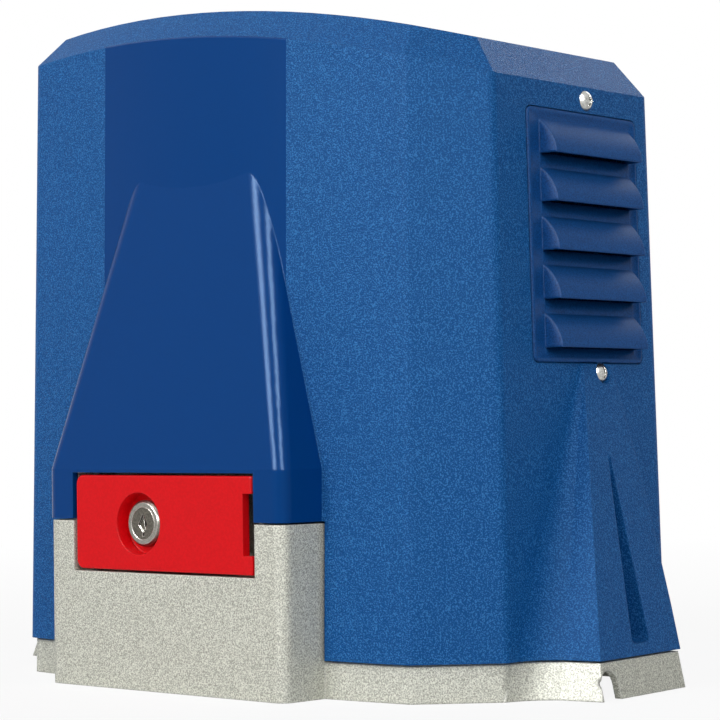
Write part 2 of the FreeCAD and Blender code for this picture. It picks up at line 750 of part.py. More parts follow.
def motor_shaft():
    at = (worm_x, 0)
    root_r = worm_pitch_r - 1.0 * gear_module
    core = rod(root_r, shaft_height - 24, shaft_height + 24, at)
    shaft = rod(rotor_shaft_r, foot_seat + bearing_step, can_high + 14, at)
    return join(core.fuse(worm_thread()), shaft)


def rotor_core():
    at = (worm_x, 0)
    core = tube(rotor_r, rotor_shaft_r, can_low + 17, can_high - 19, at)
    rings = [tube(rotor_r - 2, rotor_r - 8, z, z + 5, at) for z in (can_low + 12, can_high - 19)]
    return join(core, *rings)


def rotor_bearings():
    at = (worm_x, 0)
    return compound([bearing(bearing_r, rotor_shaft_r, z, bearing_width, at) for z in rotor_bearing_places])


def bearing(outer, bore, start, width, at, axis=Z):
    """Closed bearing, dished at both sides between its two rings."""
    body = tube(outer, bore + running_fit, start, start + width, at, axis)
    inner_lip, outer_lip = bore + 2.5, outer - 2.5
    dishes = [tube(outer_lip, inner_lip, start - 1, start + 0.6, at, axis),
              tube(outer_lip, inner_lip, start + width - 0.6, start + width + 1, at, axis)]
    return body.cut(compound(dishes))


# ---- gearbox ------------------------------------------------------------------


def gearbox_feet():
    return [(-74.0, -30.0), (-74.0, 30.0), (36.0, -30.0), (36.0, 30.0)]


def motor_bolt_spots():
    spread = can_r + 6.0
    turns = [math.radians(45 + 90 * i) for i in range(4)]
    return [(worm_x + spread * math.cos(a), spread * math.sin(a)) for a in turns]


def gearbox_housing():
    axis_at = (0, shaft_height)
    worm_at = (worm_x, 0)
    chamber = rod(chamber_r + chamber_wall, -chamber_half, chamber_half + cover_plate, axis_at, Y)
    tunnel = rod(bearing_r + tunnel_wall, foot_seat, can_low, worm_at)
    feet = box(-84, 46, -38, 38, foot_seat, foot_top)
    flange = rod(can_r, can_low - motor_flange, can_low, worm_at)
    lugs = [rod(7, can_low - motor_flange, can_low, spot) for spot in motor_bolt_spots()]
    boss = rod(boss_r, chamber_half, boss_end, axis_at, Y)
    rear = box(-38, 38, flange_y, flange_y + flange_thick, foot_seat, flange_top)
    ribs = [box(x - 3, x + 3, chamber_half, flange_y, foot_seat, shaft_height) for x in (-24, 24)]
    web = box(worm_x - 3, worm_x + 3, -36, 36, foot_seat, can_low)
    body = chamber.multiFuse([tunnel, feet, flange, boss, rear, web, *lugs, *ribs])
    cuts = [rod(chamber_r, -chamber_half - 1, chamber_half, axis_at, Y),
            rod(bearing_r, foot_seat + bearing_step, can_low + 1, worm_at),
            rod(shaft_r + 3.5, chamber_half - 1, boss_end + 1, axis_at, Y),
            rod(out_bearing_r, rear_bearing, boss_end + 1, axis_at, Y),
            rod(plug_hole_r, shaft_height + 30, 150, oil_plug_place)]
    cuts += [rod(foot_bolt_r, 0, 60, spot) for spot in gearbox_feet()]
    cuts += [rod(3.0, 100, 150, spot) for spot in motor_bolt_spots()]
    cuts += [rod(2.0, -chamber_half - 1, chamber_half, spot, Y) for spot in cover_screw_spots()]
    cuts += [rod(2.0, flange_y - 1, flange_y + 9, spot, Y) for spot in bracket_screw_spots()]
    return body.cut(compound(cuts))


def cover_screw_spots():
    """A ring of six, without the one that would sit in the worm's tunnel."""
    spread = chamber_r + chamber_wall / 2
    turns = [math.radians(turn) for turn in (0, 60, 120, 240, 300)]
    return [(spread * math.cos(a), shaft_height + spread * math.sin(a)) for a in turns]


def gearbox_cover():
    at = (0, shaft_height)
    back = -chamber_half
    plate = rod(chamber_r + chamber_wall, back - cover_plate, back, at, Y)
    boss = rod(boss_r, front_bearing - 3, back, at, Y)
    guide = rod(plunger_r + 4, -50.0, back - 1, plunger_place, Y)
    ribs = [box(-50, 50, back - cover_plate - 4, back - 1, shaft_height - 2, shaft_height + 2),
            box(-2, 2, back - cover_plate - 4, back - 1, shaft_height - 50, shaft_height + 50)]
    body = join(plate, boss, guide, *ribs)
    cuts = [rod(out_bearing_r, front_bearing, back + 1, at, Y),
            rod(plunger_r + running_fit, -51, -32, plunger_place, Y)]
    cuts += [rod(2.6, back - 20, back + 1, spot, Y) for spot in cover_screw_spots()]
    flange_low = can_low - motor_flange
    cuts += [rod(bearing_r + tunnel_wall + seat_gap, 0, 150, (worm_x, 0)),
             rod(can_r + seat_gap, flange_low - seat_gap, 150, (worm_x, 0)),
             box(worm_x - 3 - seat_gap, worm_x + 3 + seat_gap, -60, 0, 0, 150),
             box(-90, 90, -60, 0, 0, foot_top + seat_gap)]
    for shape in cuts:
        body = body.cut(shape)
    return body


def screws_along_y(spots, seat, head_r, head_h, shank_r, length):
    """Pan head screws with their heads on the plane y=seat, facing -Y."""
    shapes = []
    for x, z in spots:
        screw = pan_screw(head_r, head_h, shank_r, length)
        screw.rotate(V(0, 0, 0), X, 90)
        screw.translate(V(x, seat, z))
        shapes.append(screw)
    return compound(shapes)


def gearbox_cover_screws():
    return screws_along_y(cover_screw_spots(), -chamber_half - cover_plate, 4.0, 2.6, 2.0, 13.0)


def hex_bolts(spots, seat, head, shank_r, low):
    shapes = []
    for x, y in spots:
        shapes.append(join(hex_bar(head, seat, seat + shank_r * 1.3, (x, y), Z),
                           rod(shank_r, low, seat + 0.5, (x, y))))
    return compound(shapes)


def oil_plug():
    top = shaft_height + math.sqrt((chamber_r + chamber_wall) ** 2 - oil_plug_place[0] ** 2)
    head = hex_bar(8.0, top + 4, top + 9, oil_plug_place, Z)
    return join(head, rod(plug_hole_r, top - 8, top + 5, oil_plug_place))


# ---- motor ----------------------------------------------------------------------
def motor_housing():
    at = (worm_x, 0)
    shell = tube(can_r, can_r - can_wall, can_low, can_high, at)
    grooves = [tube(can_r + 2, can_r - 1.6, z, z + 3, at) for z in range(154, 210, 8)]
    lugs = [rod(7, can_low, can_low + 7, spot) for spot in motor_bolt_spots()]
    body = shell.cut(compound(grooves)).multiFuse(lugs)
    bore = rod(can_r - can_wall, can_low - 1, can_high + 1, at)
    cuts = [rod(3.0, can_low - 1, can_low + 9, spot) for spot in motor_bolt_spots()]
    cuts += [rod(1.4, can_high - 9, can_high + 1, spot) for spot in end_screw_spots()]
    return body.cut(bore).cut(compound(cuts))


def end_screw_spots():
    spread = can_r - can_wall / 2
    turns = [math.radians(90 * i) for i in range(4)]
    return [(worm_x + spread * math.cos(a), spread * math.sin(a)) for a in turns]


def stator_core():
    at = (worm_x, 0)
    return tube(can_r - can_wall, rotor_r + air_gap, can_low + 15, can_high - 17, at)


def stator_windings():
    at = (worm_x, 0)
    shapes = []
    for low in (can_low + 4, can_high - 17):
        ring = tube(can_r - can_wall - 4, rotor_r + 4, low, low + 11, at)
        shapes.append(ring.makeFillet(3.0, [e for e in ring.Edges if e.Length > 100 and len(e.Vertexes) == 1]))
    return compound(shapes)


def motor_end_cap():
    at = (worm_x, 0)
    cap = rod(can_r, can_high, can_high + 7, at)
    spigot = tube(can_r - can_wall - 0.1, can_r - can_wall - 3, can_high - 4, can_high + 1, at)
    hump = rod(bearing_r + 5, can_high, can_high + 18, at)
    body = join(cap, hump, spigot)
    ribs = []
    for i in range(8):
        rib = box(0, can_r - 6, -1.5, 1.5, can_high + 6, can_high + 11)
        rib.rotate(V(0, 0, 0), Z, 45 * i + 22.5)
        rib.translate(V(worm_x, 0, 0))
        ribs.append(rib)
    body = body.multiFuse(ribs)
    cuts = [rod(bearing_r, can_high - 1, can_high + 3 + bearing_width, at)]
    cuts += [rod(1.4, can_high - 1, can_high + 8, spot) for spot in end_screw_spots()]
    return body.cut(compound(cuts))


def end_cap_screws():
    shapes = []
    for x, y in end_screw_spots():
        screw = pan_screw(2.8, 1.8, 1.4, 15.0)
        screw.translate(V(x, y, can_high + 7))
        shapes.append(screw)
    return compound(shapes)


# ---- output ---------------------------------------------------------------------


def output_shaft():
    at = (0, shaft_height)
    shaft = rod(shaft_r, front_bearing + 0.5, pinion_end, at, Y)
    thread = rod(5.0, pinion_end - 22, pinion_end + 1, at, Y)
    return shaft.cut(thread).cut(key_block())


def key_block():
    return box(-key_half, key_half, pinion_start + 1, pinion_end,
               shaft_height + shaft_r - 4, shaft_height + shaft_r + key_rise)


def drive_pinion():
    at = (0, shaft_height)
    thickness = math.pi * pinion_module / 2 - 0.2
    ends = [gear_outline(pinion_module, pinion_teeth, pinion_module, 1.25 * pinion_module, thickness, 0, y)
            for y in (pinion_start, pinion_end)]
    gear = Part.makeLoft(ends, True, True)
    gear.translate(V(0, 0, shaft_height))
    bevel = join(rod(pinion_pitch_r + pinion_module, pinion_start + 2, pinion_end - 2, at, Y),
                 cone_y(pinion_pitch_r + 1, pinion_pitch_r + pinion_module, pinion_start, 2),
                 cone_y(pinion_pitch_r + pinion_module, pinion_pitch_r + 1, pinion_end - 2, 2))
    hub = rod(shaft_r + 6, pinion_start - 4, pinion_start + 1, at, Y)
    bore = rod(shaft_r, pinion_start - 10, pinion_end + 1, at, Y)
    return join(gear.common(bevel), hub).cut(bore).cut(key_block())


def cone_y(r0, r1, start, length):
    return Part.makeCone(r0, r1, length, V(0, start, shaft_height), Y)


def pinion_washer():
    return tube(shaft_r + 6, 5.0, pinion_end, pinion_end + 3, (0, shaft_height), Y)


def pinion_bolt():
    at = (0, shaft_height)
    head = hex_bar(8.5, pinion_end + 3, pinion_end + 9.5, at)
    return join(head, rod(5.0, pinion_end - 20, pinion_end + 3.5, at, Y))


def output_bearings():
    at = (0, shaft_height)
    return compound([bearing(out_bearing_r, shaft_r, y, out_bearing_width, at, Y)
                     for y in (front_bearing, rear_bearing)])


def shaft_seal():
    start = rear_bearing + out_bearing_width
    return tube(out_bearing_r, shaft_r + running_fit, start, start + 7, (0, shaft_height), Y)


# ---- limit switch ------------------------------------------------------------------


def bracket_screw_spots():
    return [(-31.0, 110.0), (31.0, 110.0)]


def limit_bracket():
    plate = box(-36, 36, flange_y - 3, flange_y, 103, limit_high + 2)
    window = box(-25, 25, flange_y - 4, flange_y + 1, 122, limit_low - 2)
    holes = [rod(2.0, flange_y - 5, flange_y + 1, spot, Y) for spot in bracket_screw_spots()]
    return plate.cut(compound([window, *holes]))


def bracket_screws():
    return screws_along_y(bracket_screw_spots(), flange_y - 3, 4.0, 2.6, 2.0, 7.0)


def limit_switch():
    body = box(-18, 18, limit_y - 14, flange_y - 3, limit_low, limit_high)
    upright = [e for e in body.Edges if abs(e.tangentAt(0).z) > 0.9]
    body = body.makeFillet(2.0, upright)
    return body.cut(rod(3.0 + running_fit, limit_low - 1, limit_low + 12, (0, limit_y)))


def limit_lever():
    hub = rod(6.5, lever_z - 6, limit_low - 0.5, (0, limit_y))
    stem = rod(3.0, lever_z, limit_low + 11, (0, limit_y))
    arm = rod(2.2, limit_y, lever_end, (0, lever_z), Y)
    tip = Part.makeSphere(4.0, V(0, lever_end, lever_z))
    return join(hub, stem, arm, tip)


# ---- electrics -----------------------------------------------------------------------


def board_bracket():
    plate = box(rack_x0, rack_x1, rack_y, rack_y + rack_thick, floor_thick, rack_top)
    foot_end = foot_hollow_x - cast_wall - 1
    foot = box(rack_x0 + 22, foot_end, rack_y, rack_y + 18, floor_thick, floor_thick + rack_thick)
    notch = box(rack_x0 - 1, rack_x0 + 22, rack_y - 1, rack_y + 4, 0, 100)
    step = box(foot_end, rack_x1 + 1, rack_y - 1, rack_y + 4, 0, foot_roof_high + 1)
    return join(plate, foot).cut(compound([notch, step]))


def board_tray():
    back = rack_y
    tray = box(36, 118, back - 26, back, board_low, board_high)
    upright = [e for e in tray.Edges if abs(e.tangentAt(0).y) > 0.9]
    tray = tray.makeFillet(4.0, upright)
    tray = tray.cut(box(38, 116, back - 27, back - 2, board_low + 2, board_high - 2))
    posts = [rod(3, back - 6, back - 1, spot, Y) for spot in board_screw_spots()]
    return join(tray, *posts)


def board_screw_spots():
    return [(x, z) for x in (45, 109) for z in (board_low + 8, board_high - 8)]


def control_board():
    board = box(40, 114, rack_y - 7.6, rack_y - 6, board_low + 4, board_high - 4)
    holes = [rod(1.2, rack_y - 10, rack_y, spot, Y) for spot in board_screw_spots()]
    return board.cut(compound(holes))


def terminal_blocks():
    shapes = []
    for i in range(4):
        x0 = 50.5 + 14.0 * i
        block = box(x0, x0 + 12, rack_y - 19.6, rack_y - 7.6, board_low + 6, board_low + 17)
        shapes.append(block.cut(box(x0 + 2, x0 + 10, rack_y - 21, rack_y - 14, board_low + 3, board_low + 11)))
    return compound(shapes)


def relays():
    return compound([box(x, x + 15, rack_y - 22, rack_y - 7.6, 180, 208) for x in (52, 72, 92)])


def board_screws():
    return screws_along_y(board_screw_spots(), rack_y - 7.6, 2.6, 1.6, 1.2, 1.6)


def transformer_core():
    outer = box(trafo_x - 24, trafo_x + 24, trafo_y - 12, trafo_y + 12, trafo_low, trafo_low + 40)
    windows = [box(trafo_x + s * 12 - 4, trafo_x + s * 12 + 4, trafo_y - 13, trafo_y + 13,
                   trafo_low + 8, trafo_low + 32) for s in (-1, 1)]
    return outer.cut(compound(windows))


def transformer_coil():
    coil = box(trafo_x - 16, trafo_x + 16, trafo_y - 20, trafo_y + 20, trafo_low + 8, trafo_low + 32)
    upright = [e for e in coil.Edges if abs(e.tangentAt(0).z) > 0.9]
    coil = coil.makeFillet(5.0, upright)
    limbs = [box(trafo_x - 8, trafo_x + 8, trafo_y - 12, trafo_y + 12, 0, 100),
             box(trafo_x - 30, trafo_x - 16, trafo_y - 12, trafo_y + 12, 0, 100),
             box(trafo_x + 16, trafo_x + 30, trafo_y - 12, trafo_y + 12, 0, 100)]
    return coil.cut(compound(limbs))


def capacitor():
    can = rod(cap_r, cap_low, cap_high, (cap_x, cap_y))
    can = can.makeFillet(2.0, [e for e in can.Edges if e.Length > 80])
    tabs = [box(cap_x + dx - 0.4, cap_x + dx + 0.4, cap_y - 3, cap_y + 3, cap_high - 1, cap_high + 9)
            for dx in (-6, 6)]
    return join(can, *tabs)


def capacitor_clamp():
    ring = tube(cap_r + 1.5, cap_r, 98, 112, (cap_x, cap_y))
    tab = box(cap_x - 8, cap_x + 8, rack_y + rack_thick, cap_y - cap_r + 1, 98, 112)
    return join(ring, tab).cut(rod(cap_r, 90, 120, (cap_x, cap_y)))


def cable_grommet():
    at = (cable_x, cable_y)
    neck = tube(cable_hole_r, grommet_bore_r, 3, floor_thick + 4, at)
    lip = tube(cable_hole_r + 3, grommet_bore_r, floor_thick, floor_thick + 3, at)
    return join(neck, lip)


def earth_screw():
    screw = pan_screw(4.5, 3.0, 2.5, 6.0)
    screw.translate(V(*earth_place, floor_thick))
    return screw


def levelling_screws():
    shapes = []
    for side in (-1, 1):
        at = (side * level_x, level_y)
        shapes.append(rod(level_r, 1.5, foot_roof_high, at).cut(hex_bar(2.5, 8, 20, at, Z)))
    return compound(shapes)


def cover_screws():
    shapes = []
    for x, z in cover_lug_spots():
        screw = pan_screw(screw_head_r, 2.6, cover_screw_r, 12.0)
        screw.rotate(V(0, 0, 0), X, -90)
        screw.translate(V(x, rear_face(x, z) + 0.5, z))
        shapes.append(screw)
    return compound(shapes)


def rear_face(x, z):
    """How far back the cover's rear face lies."""
    run = half_width - corner_run
    return half_depth + face_bow * (1 - (x / run) ** 2) - draft * z


nodes = {
    "base_casting": base_casting, "cover": cover, "vent_grille": vent_grille,
    "vent_screws": vent_screws, "cover_screws": cover_screws,
    "release_door": release_door, "lock_barrel": lock_barrel, "lock_plug": lock_plug,
    "lock_nut": lock_nut, "lock_cam": lock_cam, "release_plunger": release_plunger,
    "gearbox_housing": gearbox_housing, "gearbox_cover": gearbox_cover,
    "gearbox_cover_screws": gearbox_cover_screws, "oil_plug": oil_plug,
    "motor_housing": motor_housing, "stator_core": stator_core,
    "stator_windings": stator_windings, "motor_end_cap": motor_end_cap,
    "end_cap_screws": end_cap_screws, "motor_shaft": motor_shaft, "rotor_core": rotor_core,
    "rotor_bearings": rotor_bearings, "worm_wheel": worm_wheel, "wheel_hub": wheel_hub,
    "output_shaft": output_shaft, "output_bearings": output_bearings,
    "shaft_seal": shaft_seal, "drive_pinion": drive_pinion, "pinion_key": key_block,
    "pinion_washer": pinion_washer, "pinion_bolt": pinion_bolt,
    "limit_bracket": limit_bracket, "bracket_screws": bracket_screws,
    "limit_switch": limit_switch, "limit_lever": limit_lever,
    "board_bracket": board_bracket, "board_tray": board_tray,
    "control_board": control_board, "board_screws": board_screws,
    "terminal_blocks": terminal_blocks, "relays": relays,
    "transformer_core": transformer_core, "transformer_coil": transformer_coil,
    "capacitor": capacitor, "capacitor_clamp": capacitor_clamp,
    "cable_grommet": cable_grommet, "earth_screw": earth_screw,
    "levelling_screws": levelling_screws,
}
for name, make in nodes.items():
    save(name, make())
save("door_hinge_pin", rod(hinge_pin_r, opening_low - 6, opening_high + 2.8, hinge_place()))
save("gearbox_bolts", hex_bolts(gearbox_feet(), foot_top, 6.5, foot_bolt_r, floor_thick - 1))
save("motor_bolts", hex_bolts(motor_bolt_spots(), can_low + 7, 5.0, 3.0, can_low - motor_flange))
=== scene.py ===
# %% [markdown]
# # Sliding gate motor: dressing the frame
# The construction comes packed from CAD as one shared frame, in metres. This notebook
# gives every surface its finish, makes the vent grille again as a finer mesh than a STEP
# file gives, and sets up the floor, the lamps and the camera. Nothing is moved or
# resized: each piece of the frame already lies where it belongs.

# %% Load the frame
import json
import math

import bmesh
import bpy
import numpy as np
from mathutils import Matrix, Vector


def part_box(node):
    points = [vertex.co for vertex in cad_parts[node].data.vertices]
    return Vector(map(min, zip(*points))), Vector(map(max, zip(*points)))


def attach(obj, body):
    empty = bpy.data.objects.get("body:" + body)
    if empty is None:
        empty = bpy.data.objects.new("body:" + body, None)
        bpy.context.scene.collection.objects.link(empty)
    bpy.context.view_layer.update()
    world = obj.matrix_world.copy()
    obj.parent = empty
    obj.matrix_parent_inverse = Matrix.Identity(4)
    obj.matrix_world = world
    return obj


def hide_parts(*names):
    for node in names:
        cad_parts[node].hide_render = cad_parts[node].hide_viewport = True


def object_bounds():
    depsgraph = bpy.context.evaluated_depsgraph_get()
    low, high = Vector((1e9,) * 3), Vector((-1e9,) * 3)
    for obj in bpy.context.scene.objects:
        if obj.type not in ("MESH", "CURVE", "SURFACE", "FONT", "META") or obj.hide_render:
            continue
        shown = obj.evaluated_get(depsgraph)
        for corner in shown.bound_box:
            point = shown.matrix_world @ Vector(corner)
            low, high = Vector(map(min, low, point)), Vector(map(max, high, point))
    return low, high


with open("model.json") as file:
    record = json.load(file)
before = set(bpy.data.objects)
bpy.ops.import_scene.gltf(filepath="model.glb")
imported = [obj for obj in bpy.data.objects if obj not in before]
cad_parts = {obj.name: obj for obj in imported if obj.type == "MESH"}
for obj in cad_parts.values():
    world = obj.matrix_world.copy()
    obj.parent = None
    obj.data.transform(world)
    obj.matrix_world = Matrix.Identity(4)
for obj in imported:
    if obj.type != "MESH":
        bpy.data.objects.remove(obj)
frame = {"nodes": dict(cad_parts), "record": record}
cad_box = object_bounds()
nodes = frame["nodes"]
print("CAD box in metres:", [[round(float(v), 4) for v in corner] for corner in cad_box])

# %% [markdown]
# ## Helpers for shader nodes
# A finish is a tree of shader nodes, small boxes whose sockets are joined by links. The
# boxes could be placed one by one in the shader editor. Here each helper places one box
# and returns the socket that the next box needs, so a finish reads as a list of steps.

# %% Helpers for shader nodes
# A Mix node keeps sockets for every kind of data side by side, under the same names, so
# they are found by number: factor, first value, second value, result.
MIX_SOCKETS = {"FLOAT": (0, 2, 3, 0), "RGBA": (0, 6, 7, 2)}


def add(tree, kind, **properties):
    """A shader node of this kind with its properties set; its sockets are filled later."""
    node = tree.nodes.new("ShaderNode" + kind)
    for name, value in properties.items():
        setattr(node, name, value)
    return node


def plug(tree, value, socket):
    """Links an output into the socket, or writes a number or a colour on it."""
    if isinstance(value, bpy.types.NodeSocket):
        tree.links.new(value, socket)
    elif isinstance(value, (int, float)):
        socket.default_value = value
    else:
        socket.default_value = (*value, 1.0)


def math_node(tree, operation, *values, clamp=False):
    """One Math node; each value is a number or a socket."""
    node = add(tree, "Math", operation=operation, use_clamp=clamp)
    for value, socket in zip(values, node.inputs):
        plug(tree, value, socket)
    return node.outputs[0]


def ramp(tree, value, low, high):
    """(value - low) / (high - low), kept between 0 and 1."""
    node = add(tree, "MapRange")
    plug(tree, value, node.inputs["Value"])
    plug(tree, low, node.inputs["From Min"])
    plug(tree, high, node.inputs["From Max"])
    return node.outputs["Result"]


def mix(tree, kind, factor, a, b):
    """a * (1 - factor) + b * factor; the kind is RGBA for colours, FLOAT for numbers."""
    node = add(tree, "Mix", data_type=kind)
    factor_at, a_at, b_at, result_at = MIX_SOCKETS[kind]
    plug(tree, factor, node.inputs[factor_at])
    plug(tree, a, node.inputs[a_at])
    plug(tree, b, node.inputs[b_at])
    return node.outputs[result_at]


def noise(tree, vector, scale, detail, rough):
    """Cloudy noise between 0 and 1 that mostly stays near one half."""
    node = add(tree, "TexNoise")
    plug(tree, vector, node.inputs["Vector"])
    plug(tree, scale, node.inputs["Scale"])
    plug(tree, detail, node.inputs["Detail"])
    plug(tree, rough, node.inputs["Roughness"])
    return node.outputs["Fac"]


def object_place(tree):
    """The shaded point's place in metres, in the one frame that all pieces share."""
    return add(tree, "TexCoord").outputs["Object"]


def split_place(tree, place):
    """The x, y and z of a place."""
    node = add(tree, "SeparateXYZ")
    plug(tree, place, node.inputs[0])
    return node.outputs


def new_group(name, inputs, outputs):
    """An empty group; inputs are (name, number) pairs, outputs are (name, kind) pairs."""
    group = bpy.data.node_groups.new(name, "ShaderNodeTree")
    for label, value in inputs:
        socket = group.interface.new_socket(
            name=label, in_out="INPUT", socket_type="NodeSocketFloat")
        socket.default_value = value
    for label, kind in outputs:
        group.interface.new_socket(
            name=label, in_out="OUTPUT", socket_type="NodeSocket" + kind)
    return group, group.nodes.new("NodeGroupInput"), group.nodes.new("NodeGroupOutput")


print("helpers for", len(MIX_SOCKETS), "kinds of mix, and for noise, ramps and groups")

# %% [markdown]
# ## Spark grain
# Moulded plastic and blasted metal both get their life from grain far smaller than the
# part. It could be modelled, at the price of millions of faces, or laid on as an image,
# which needs an unwrapped surface. Here it is a node group, built once and placed in
# each material with its own values. It mixes two sizes of noise and reads Object
# coordinates, in metres, so the grain keeps its real size on every piece.

# %% The grain group
GRAIN_DETAIL = 2.0
FINE_ROUGH, COARSE_ROUGH = 0.6, 0.5
# Noise gathers round one half, so speckle takes its full range from this narrow one.
PIT_LEVEL, PEAK_LEVEL = 0.40, 0.60


def grain_group():
    """
    Height is fine noise * (1 - share) + coarse noise * share. Speckle is that height
    with the range from pit to peak level spread over 0 to 1.
    """
    inputs = [("Fine Scale", 1500.0), ("Coarse Scale", 320.0), ("Coarse Share", 0.15)]
    outputs = [("Speckle", "Float"), ("Height", "Float")]
    group, start, end = new_group("spark_grain", inputs, outputs)
    place = object_place(group)
    fine = noise(group, place, start.outputs["Fine Scale"], GRAIN_DETAIL, FINE_ROUGH)
    coarse = noise(group, place, start.outputs["Coarse Scale"], GRAIN_DETAIL, COARSE_ROUGH)
    share = start.outputs["Coarse Share"]
    fine_share = math_node(group, "SUBTRACT", 1.0, share)
    height = math_node(group, "ADD", math_node(group, "MULTIPLY", fine, fine_share),
                       math_node(group, "MULTIPLY", coarse, share))
    plug(group, ramp(group, height, PIT_LEVEL, PEAK_LEVEL), end.inputs["Speckle"])
    plug(group, height, end.inputs["Height"])
    return group


GRAIN = grain_group()
print("group:", GRAIN.name, "sockets:", len(GRAIN.interface.items_tree))

# %% [markdown]
# ## Settled dust
# A cast base that stands outdoors is never one even tone: dust settles low down and in
# patches. A painted mask would need an unwrapped surface too, so the second group works
# the patches out from slow noise, and the low part from the height over the ground.

# %% The dust group
PATCH_DETAIL, PATCH_ROUGH = 5.0, 0.6
# Noise up to the first level is clean, and from the second is fully dusty.
CLEAN_LEVEL, DUSTY_LEVEL = 0.35, 0.75
PATCH_SHARE, GROUND_SHARE = 0.6, 0.4


def dust_group():
    """
    Mask is patches * patch share + nearness to the ground * ground share, where the
    nearness falls from 1 on the ground to 0 at the ground height.
    """
    inputs = [("Scale", 14.0), ("Ground Height", 0.05)]
    group, start, end = new_group("settled_dust", inputs, [("Mask", "Float")])
    place = object_place(group)
    cloud = noise(group, place, start.outputs["Scale"], PATCH_DETAIL, PATCH_ROUGH)
    patches = ramp(group, cloud, CLEAN_LEVEL, DUSTY_LEVEL)
    height = split_place(group, place)["Z"]
    raised = math_node(group, "DIVIDE", height, start.outputs["Ground Height"])
    near_ground = math_node(group, "SUBTRACT", 1.0, raised, clamp=True)
    mask = math_node(group, "ADD", math_node(group, "MULTIPLY", patches, PATCH_SHARE),
                     math_node(group, "MULTIPLY", near_ground, GROUND_SHARE), clamp=True)
    plug(group, mask, end.inputs["Mask"])
    return group


DUST = dust_group()
print("group:", DUST.name, "sockets:", len(DUST.interface.items_tree))

# %% [markdown]
# ## Soft edges
# No moulded or cast edge is truly sharp, and a rounded one catches a line of light.
# Rounding each edge in the mesh would cost many faces, so a third group does it in the
# shading: Blender's Bevel node looks round each point within a small radius and turns
# the normal over the edge. Where that normal leaves the face's own, there is an edge,
# and the same group gives that out as a mask for a lighter colour there: a painted
# highlight along the edges.

# %% The edge group
# Few samples leave a little noise in the edges and keep the render quick.
BEVEL_SAMPLES = 4


def edge_group():
    """
    Normal is the face's own, turned over each edge. Mask is one minus the cosine of that
    turn, over the spread, kept between 0 and 1.
    """
    inputs = [("Radius", 0.0006), ("Spread", 0.25)]
    outputs = [("Normal", "Vector"), ("Mask", "Float")]
    group, start, end = new_group("soft_edge", inputs, outputs)
    bevel = add(group, "Bevel", samples=BEVEL_SAMPLES)
    plug(group, start.outputs["Radius"], bevel.inputs["Radius"])
    turn = add(group, "VectorMath", operation="DOT_PRODUCT")
    plug(group, bevel.outputs[0], turn.inputs[0])
    plug(group, add(group, "NewGeometry").outputs["Normal"], turn.inputs[1])
    bend = math_node(group, "SUBTRACT", 1.0, turn.outputs["Value"], clamp=True)
    mask = math_node(group, "DIVIDE", bend, start.outputs["Spread"], clamp=True)
    plug(group, bevel.outputs[0], end.inputs["Normal"])
    plug(group, mask, end.inputs["Mask"])
    return group


EDGE = edge_group()
print("group:", EDGE.name, "sockets:", len(EDGE.interface.items_tree))

# %% [markdown]
# ## One maker for plain finishes
# Most pieces are one stuff all over: zinc, bronze, rubber, board. Each could have a
# material of its own, made by hand, but they differ only in their numbers. They share a
# function that lays grain in the colour and the bump, with the amounts as arguments, so
# that a finish is one readable entry in a table.

# %% A maker for plain finishes
GRAIN_DEPTH = 0.0001
# The mottle under a plain finish is this many times coarser than its grain.
COARSER = 5
SHADER_SOCKETS = {"colour": "Base Color", "rough": "Roughness", "metal": "Metallic",
                  "specular": "Specular IOR Level", "tint": "Specular Tint"}


def place_group(tree, group, **values):
    """The group as one node with its inputs set; an underline stands for a space."""
    node = tree.nodes.new("ShaderNodeGroup")
    node.node_tree = group
    for name, value in values.items():
        node.inputs[name.replace("_", " ")].default_value = value
    return node


def new_material(name):
    """A new material with its tree and its Principled shader."""
    material = bpy.data.materials.new(name)
    material.use_nodes = True
    tree = material.node_tree
    return material, tree, tree.nodes["Principled BSDF"]


def set_shader(shader, **values):
    """Writes what is the same all over the surface on the shader's own sockets."""
    for name, value in values.items():
        shader.inputs[SHADER_SOCKETS[name]].default_value = value


def set_bump(tree, shader, height, strength, distance, under=None):
    """Bump from a height, laid over another normal where one is given."""
    bump = add(tree, "Bump")
    if under is not None:
        plug(tree, under, bump.inputs["Normal"])
    plug(tree, strength, bump.inputs["Strength"])
    plug(tree, distance, bump.inputs["Distance"])
    plug(tree, height, bump.inputs["Height"])
    plug(tree, bump.outputs[0], shader.inputs["Normal"])


def finish(name, light, dark, rough, metal, fine, bump, specular=0.5,
           painted_highlight=None, edge=0.0, radius=0.0):
    """
    Colour runs from dark in the pits to light on the grain. Where a lighter edge colour is
    given, the share called edge of it comes over that along edges of this radius, as a
    painted highlight.
    """
    material, tree, shader = new_material(name)
    grain = place_group(tree, GRAIN, Fine_Scale=fine, Coarse_Scale=fine / COARSER)
    colour = mix(tree, "RGBA", grain.outputs["Speckle"], dark, light)
    soft_normal = None
    # A lighter colour on the edges: a painted highlight.
    if painted_highlight:
        edges = place_group(tree, EDGE, Radius=radius)
        soft_normal = edges.outputs["Normal"]
        share = math_node(tree, "MULTIPLY", edges.outputs["Mask"], edge)
        colour = mix(tree, "RGBA", share, colour, painted_highlight)
    plug(tree, colour, shader.inputs["Base Color"])
    set_shader(shader, rough=rough, metal=metal, specular=specular)
    set_bump(tree, shader, grain.outputs["Height"], bump, GRAIN_DEPTH, soft_normal)
    return material


print("plain finishes take grain", GRAIN_DEPTH * 1000, "mm deep")

